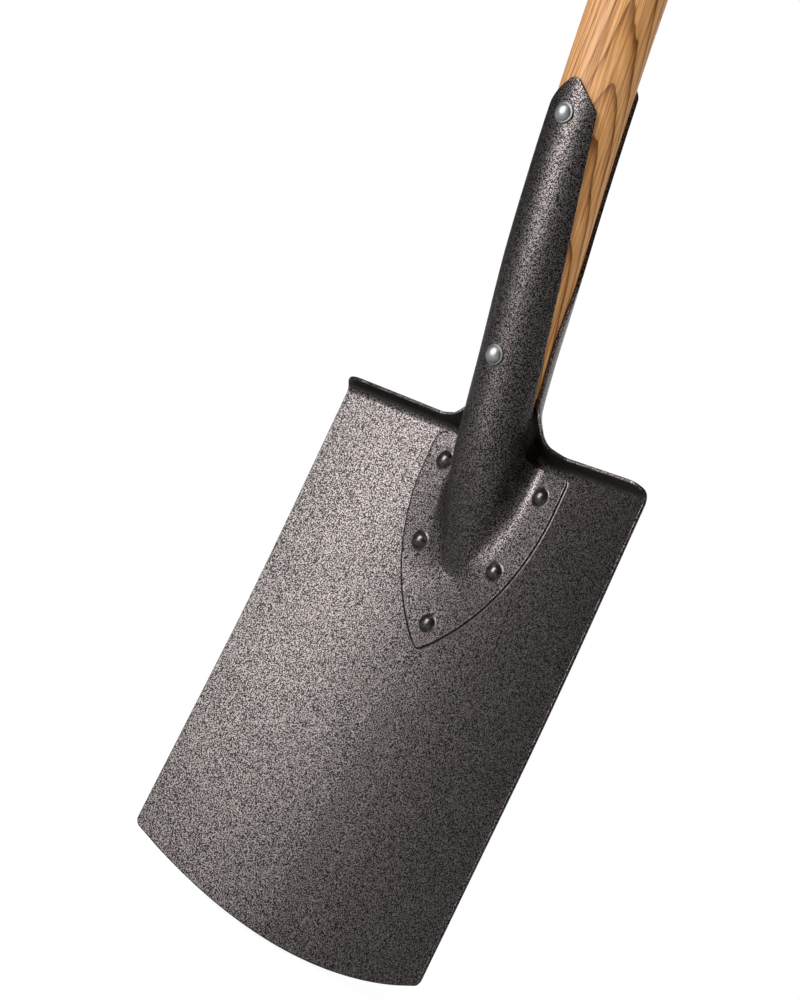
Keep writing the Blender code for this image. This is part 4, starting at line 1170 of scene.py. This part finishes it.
def smooth_enamel():
    """The same enamel where it lies thick and smooth."""
    nodes = new_material("smooth_enamel")
    cloud = nodes.noise(nodes.position(), 900.0, 2.0)
    return nodes.look({
        "Base Color": nodes.ramp(cloud, [(0.40, (0.095, 0.087, 0.086)), (0.60, (0.210, 0.193, 0.190))]),
        "Normal": nodes.bump(cloud, 0.10, 0.0001),
        "Metallic": 1.0, "Roughness": 0.33, "Coat Weight": 0.5, "Coat Roughness": 0.24})


def seam_painted_shadow():
    """Dark paint without the flake pattern: a painted shadow along the plate's left edge."""
    nodes = new_material("seam_painted_shadow")
    cloud = nodes.noise(nodes.position(), 600.0, 2.0)
    return nodes.look({
        "Base Color": nodes.ramp(cloud, [(0.35, (0.022, 0.020, 0.020)), (0.65, (0.042, 0.038, 0.037))]),
        "Metallic": 1.0, "Roughness": 0.45})


def lacquered_ash():
    """Ash with growth rings that show as arches on one side, lacquered."""
    nodes = new_material("lacquered_ash")
    place = nodes.add("ShaderNodeAttribute", attribute_name="grain", attribute_type="GEOMETRY")["Vector"]

    def noise(across, along, detail):
        """Noise with as many turns in a metre across and along the grain."""
        stretched = nodes.vector("MULTIPLY", place, (across, across, along))[0]
        return nodes.noise(stretched, 1.0, detail)

    from_pith = nodes.vector("SUBTRACT", place, PITH)[0]
    reach = nodes.length(nodes.vector("MULTIPLY", from_pith, (1.0, 1.0, 0.0))[0])
    growth = nodes.multiply(nodes.coordinate(place, "Z"), RING_SLOPE)
    sway = nodes.multiply(noise(38.0, 9.0, 2.0), RING_SWAY)
    flutter = nodes.multiply(noise(240.0, 18.0, 3.0), RING_FLUTTER)
    radius = nodes.math("ADD", nodes.math("SUBTRACT", reach, growth), nodes.math("ADD", sway, flutter))
    phase = nodes.math("FRACT", nodes.math("DIVIDE", radius, RING_WIDTH), 0.0)
    rings = nodes.ramp(phase, [(0.0, (0.21, 0.070, 0.015)), (0.07, (0.30, 0.120, 0.034)),
                               (0.22, (0.64, 0.305, 0.100)), (0.58, (0.83, 0.440, 0.172)),
                               (0.96, (0.71, 0.360, 0.126)), (1.0, (0.21, 0.070, 0.015))])
    patch = nodes.share(noise(34.0, 11.0, 1.0), 0.45, 0.72, "LINEAR")
    tinted = nodes.blend(nodes.multiply(patch, 0.5), rings, (0.76, 0.45, 0.265, 1.0))
    fibre = nodes.ramp(noise(1000.0, 16.0, 3.0), [(0.34, (0.60, 0.48, 0.34)), (0.56, (1.05, 1.05, 1.05))])
    fibrous = nodes.blend(1.0, tinted, fibre, "MULTIPLY")
    early = nodes.math("POWER", nodes.math("SUBTRACT", 1.0, phase), 1.5)
    pores = nodes.share(noise(1500.0, 60.0, 1.0), 0.54, 0.66, "LINEAR")
    open_share = nodes.multiply(nodes.multiply(pores, early), 0.75)
    return nodes.look({
        "Base Color": nodes.blend(open_share, fibrous, (0.20, 0.075, 0.020, 1.0)),
        "Normal": nodes.bump(open_share, 0.20, 0.0001, invert=True),
        "Roughness": 0.50, "Specular IOR Level": 0.22, "Coat Weight": 0.06, "Coat Roughness": 0.25})


def zinc_plate(name, low, high, roughness):
    """Zinc plating with a soft sheen and faint clouds."""
    nodes = new_material(name)
    cloud = nodes.noise(nodes.position(), 900.0, 3.0)
    return nodes.look({"Base Color": nodes.ramp(cloud, [(0.3, low), (0.7, high)]),
                       "Metallic": 1.0, "Roughness": roughness})


# Studio

def make_camera():
    """Camera of the photograph, its lens in mm for a sensor 36 mm wide."""
    camera = placed("camera", bpy.data.cameras.new("camera"))
    camera.data.lens = CAMERA_LENS
    camera.matrix_world = (Matrix.Translation(CAMERA_TARGET)
                           @ Matrix.Rotation(CAMERA_AZIMUTH, 4, "Z")
                           @ Matrix.Rotation(pi / 2 - CAMERA_ELEVATION, 4, "X")
                           @ Matrix.Rotation(-CAMERA_ROLL, 4, "Z")
                           @ Matrix.Translation((0.0, 0.0, CAMERA_DISTANCE)))
    bpy.context.scene.camera = camera


def make_floor():
    """Pale floor with the object's shadow, white to the eye further out."""
    mesh = bpy.data.meshes.new("floor")
    corners = ((-1, -1), (1, -1), (1, 1), (-1, 1))
    mesh.from_pydata([(x * FLOOR_HALF, y * FLOOR_HALF, -FLOOR_GAP) for x, y in corners], [], [(0, 1, 2, 3)])
    floor = placed("floor", mesh)
    nodes = new_material("floor")
    place = nodes.position()
    glossy, seen, shown = nodes.rays(place, *FLOOR_BEHIND)
    shade = nodes.math("SUBTRACT", FLOOR_SHADE, nodes.multiply(glossy, FLOOR_SHADE_DROP))
    nodes.fill(nodes.shader, {"Base Color": shade, "Roughness": 1.0, "Specular IOR Level": 0.0})
    plain = nodes.shader.outputs[0]
    glow = nodes.add("ShaderNodeEmission", {"Strength": FLOOR_GLOW})[0]
    lifted = nodes.add("ShaderNodeAddShader", {0: glow, 1: plain})[0]
    near = nodes.mixed(seen, plain, lifted)
    white = nodes.add("ShaderNodeEmission", {"Strength": 1.0})[0]
    far = nodes.share(nodes.length(place), *FLOOR_WHITE)
    surface = nodes.mixed(nodes.multiply(shown, far), near, white)
    nodes.fill(nodes.tree.nodes["Material Output"], {"Surface": surface})
    mesh.materials.append(nodes.owner)


def make_world():
    """White to the camera and behind the object, dim in front of it."""
    world = bpy.data.worlds.new("studio")
    bpy.context.scene.world = world
    nodes = Nodes(world)
    nodes.tree.nodes.clear()
    glossy, _, shown = nodes.rays(nodes.add("ShaderNodeTexCoord")["Generated"], *WORLD_BEHIND)
    strength = nodes.math("SUBTRACT", WORLD_STRENGTH, nodes.multiply(glossy, WORLD_STRENGTH_DROP))
    dim = nodes.add("ShaderNodeBackground", {"Color": WHITE, "Strength": strength})[0]
    white = nodes.add("ShaderNodeBackground", {"Color": WHITE, "Strength": 1.0})[0]
    nodes.add("ShaderNodeOutputWorld", {"Surface": nodes.mixed(shown, dim, white)})


def make_lamp(name, place, aim, width, height, power):
    """Soft lamp out of sight. The fill lamp isn't reflected, so no metal takes its light."""
    data = bpy.data.lights.new(name, "AREA")
    data.shape = "RECTANGLE"
    data.size = width
    data.size_y = height
    data.energy = power
    lamp = placed(name, data)
    lamp.location = place
    lamp.rotation_euler = (Vector(aim) - Vector(place)).to_track_quat("-Z", "Y").to_euler()
    lamp.visible_camera = False
    lamp.visible_glossy = name != "fill"


make_camera()
make_world()
make_floor()
for lamp_name, lamp_sizes in LAMPS.items():
    make_lamp(lamp_name, *lamp_sizes)

hammered, smooth = hammered_enamel(), smooth_enamel()
ash = lacquered_ash()
zinc = zinc_plate("zinc_plate", (0.60, 0.61, 0.62), (0.74, 0.75, 0.76), 0.48)
dull_zinc = zinc_plate("dull_zinc", (0.26, 0.265, 0.27), (0.36, 0.365, 0.37), 0.50)
painted = [(blade_sheet(hammered), "blade"), (strap_sheet(hammered), "front_strap")]
painted += shield_rivet_pieces(smooth)
painted.append((shield_seam("shield_seam_right", 1.0, SEAM_WIDTH, smooth), None))
# The left seam is coloured dark: a painted shadow along the plate's left edge.
painted.append((shield_seam("shield_seam_left_painted_shadow", -1.0, SEAM_WIDTH_LEFT, seam_painted_shadow()), None))
wooden = [(shaft_piece(ash), "shaft"), (crossbar_piece(ash), "grip_crossbar")]
wooden.append((wedge_piece(ash), "grip_wedge"))
plated = [*shaft_rivet_pieces(zinc, dull_zinc), (pin_piece(zinc), "grip_pin")]
for slot, pieces in {"hammered_enamel": painted, "lacquered_ash": wooden,
                     "zinc_plated_steel": plated}.items():
    for piece, node in pieces:
        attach(piece, "root")
        if node:
            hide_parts(node)

bpy.context.scene.view_settings.view_transform = "Standard"
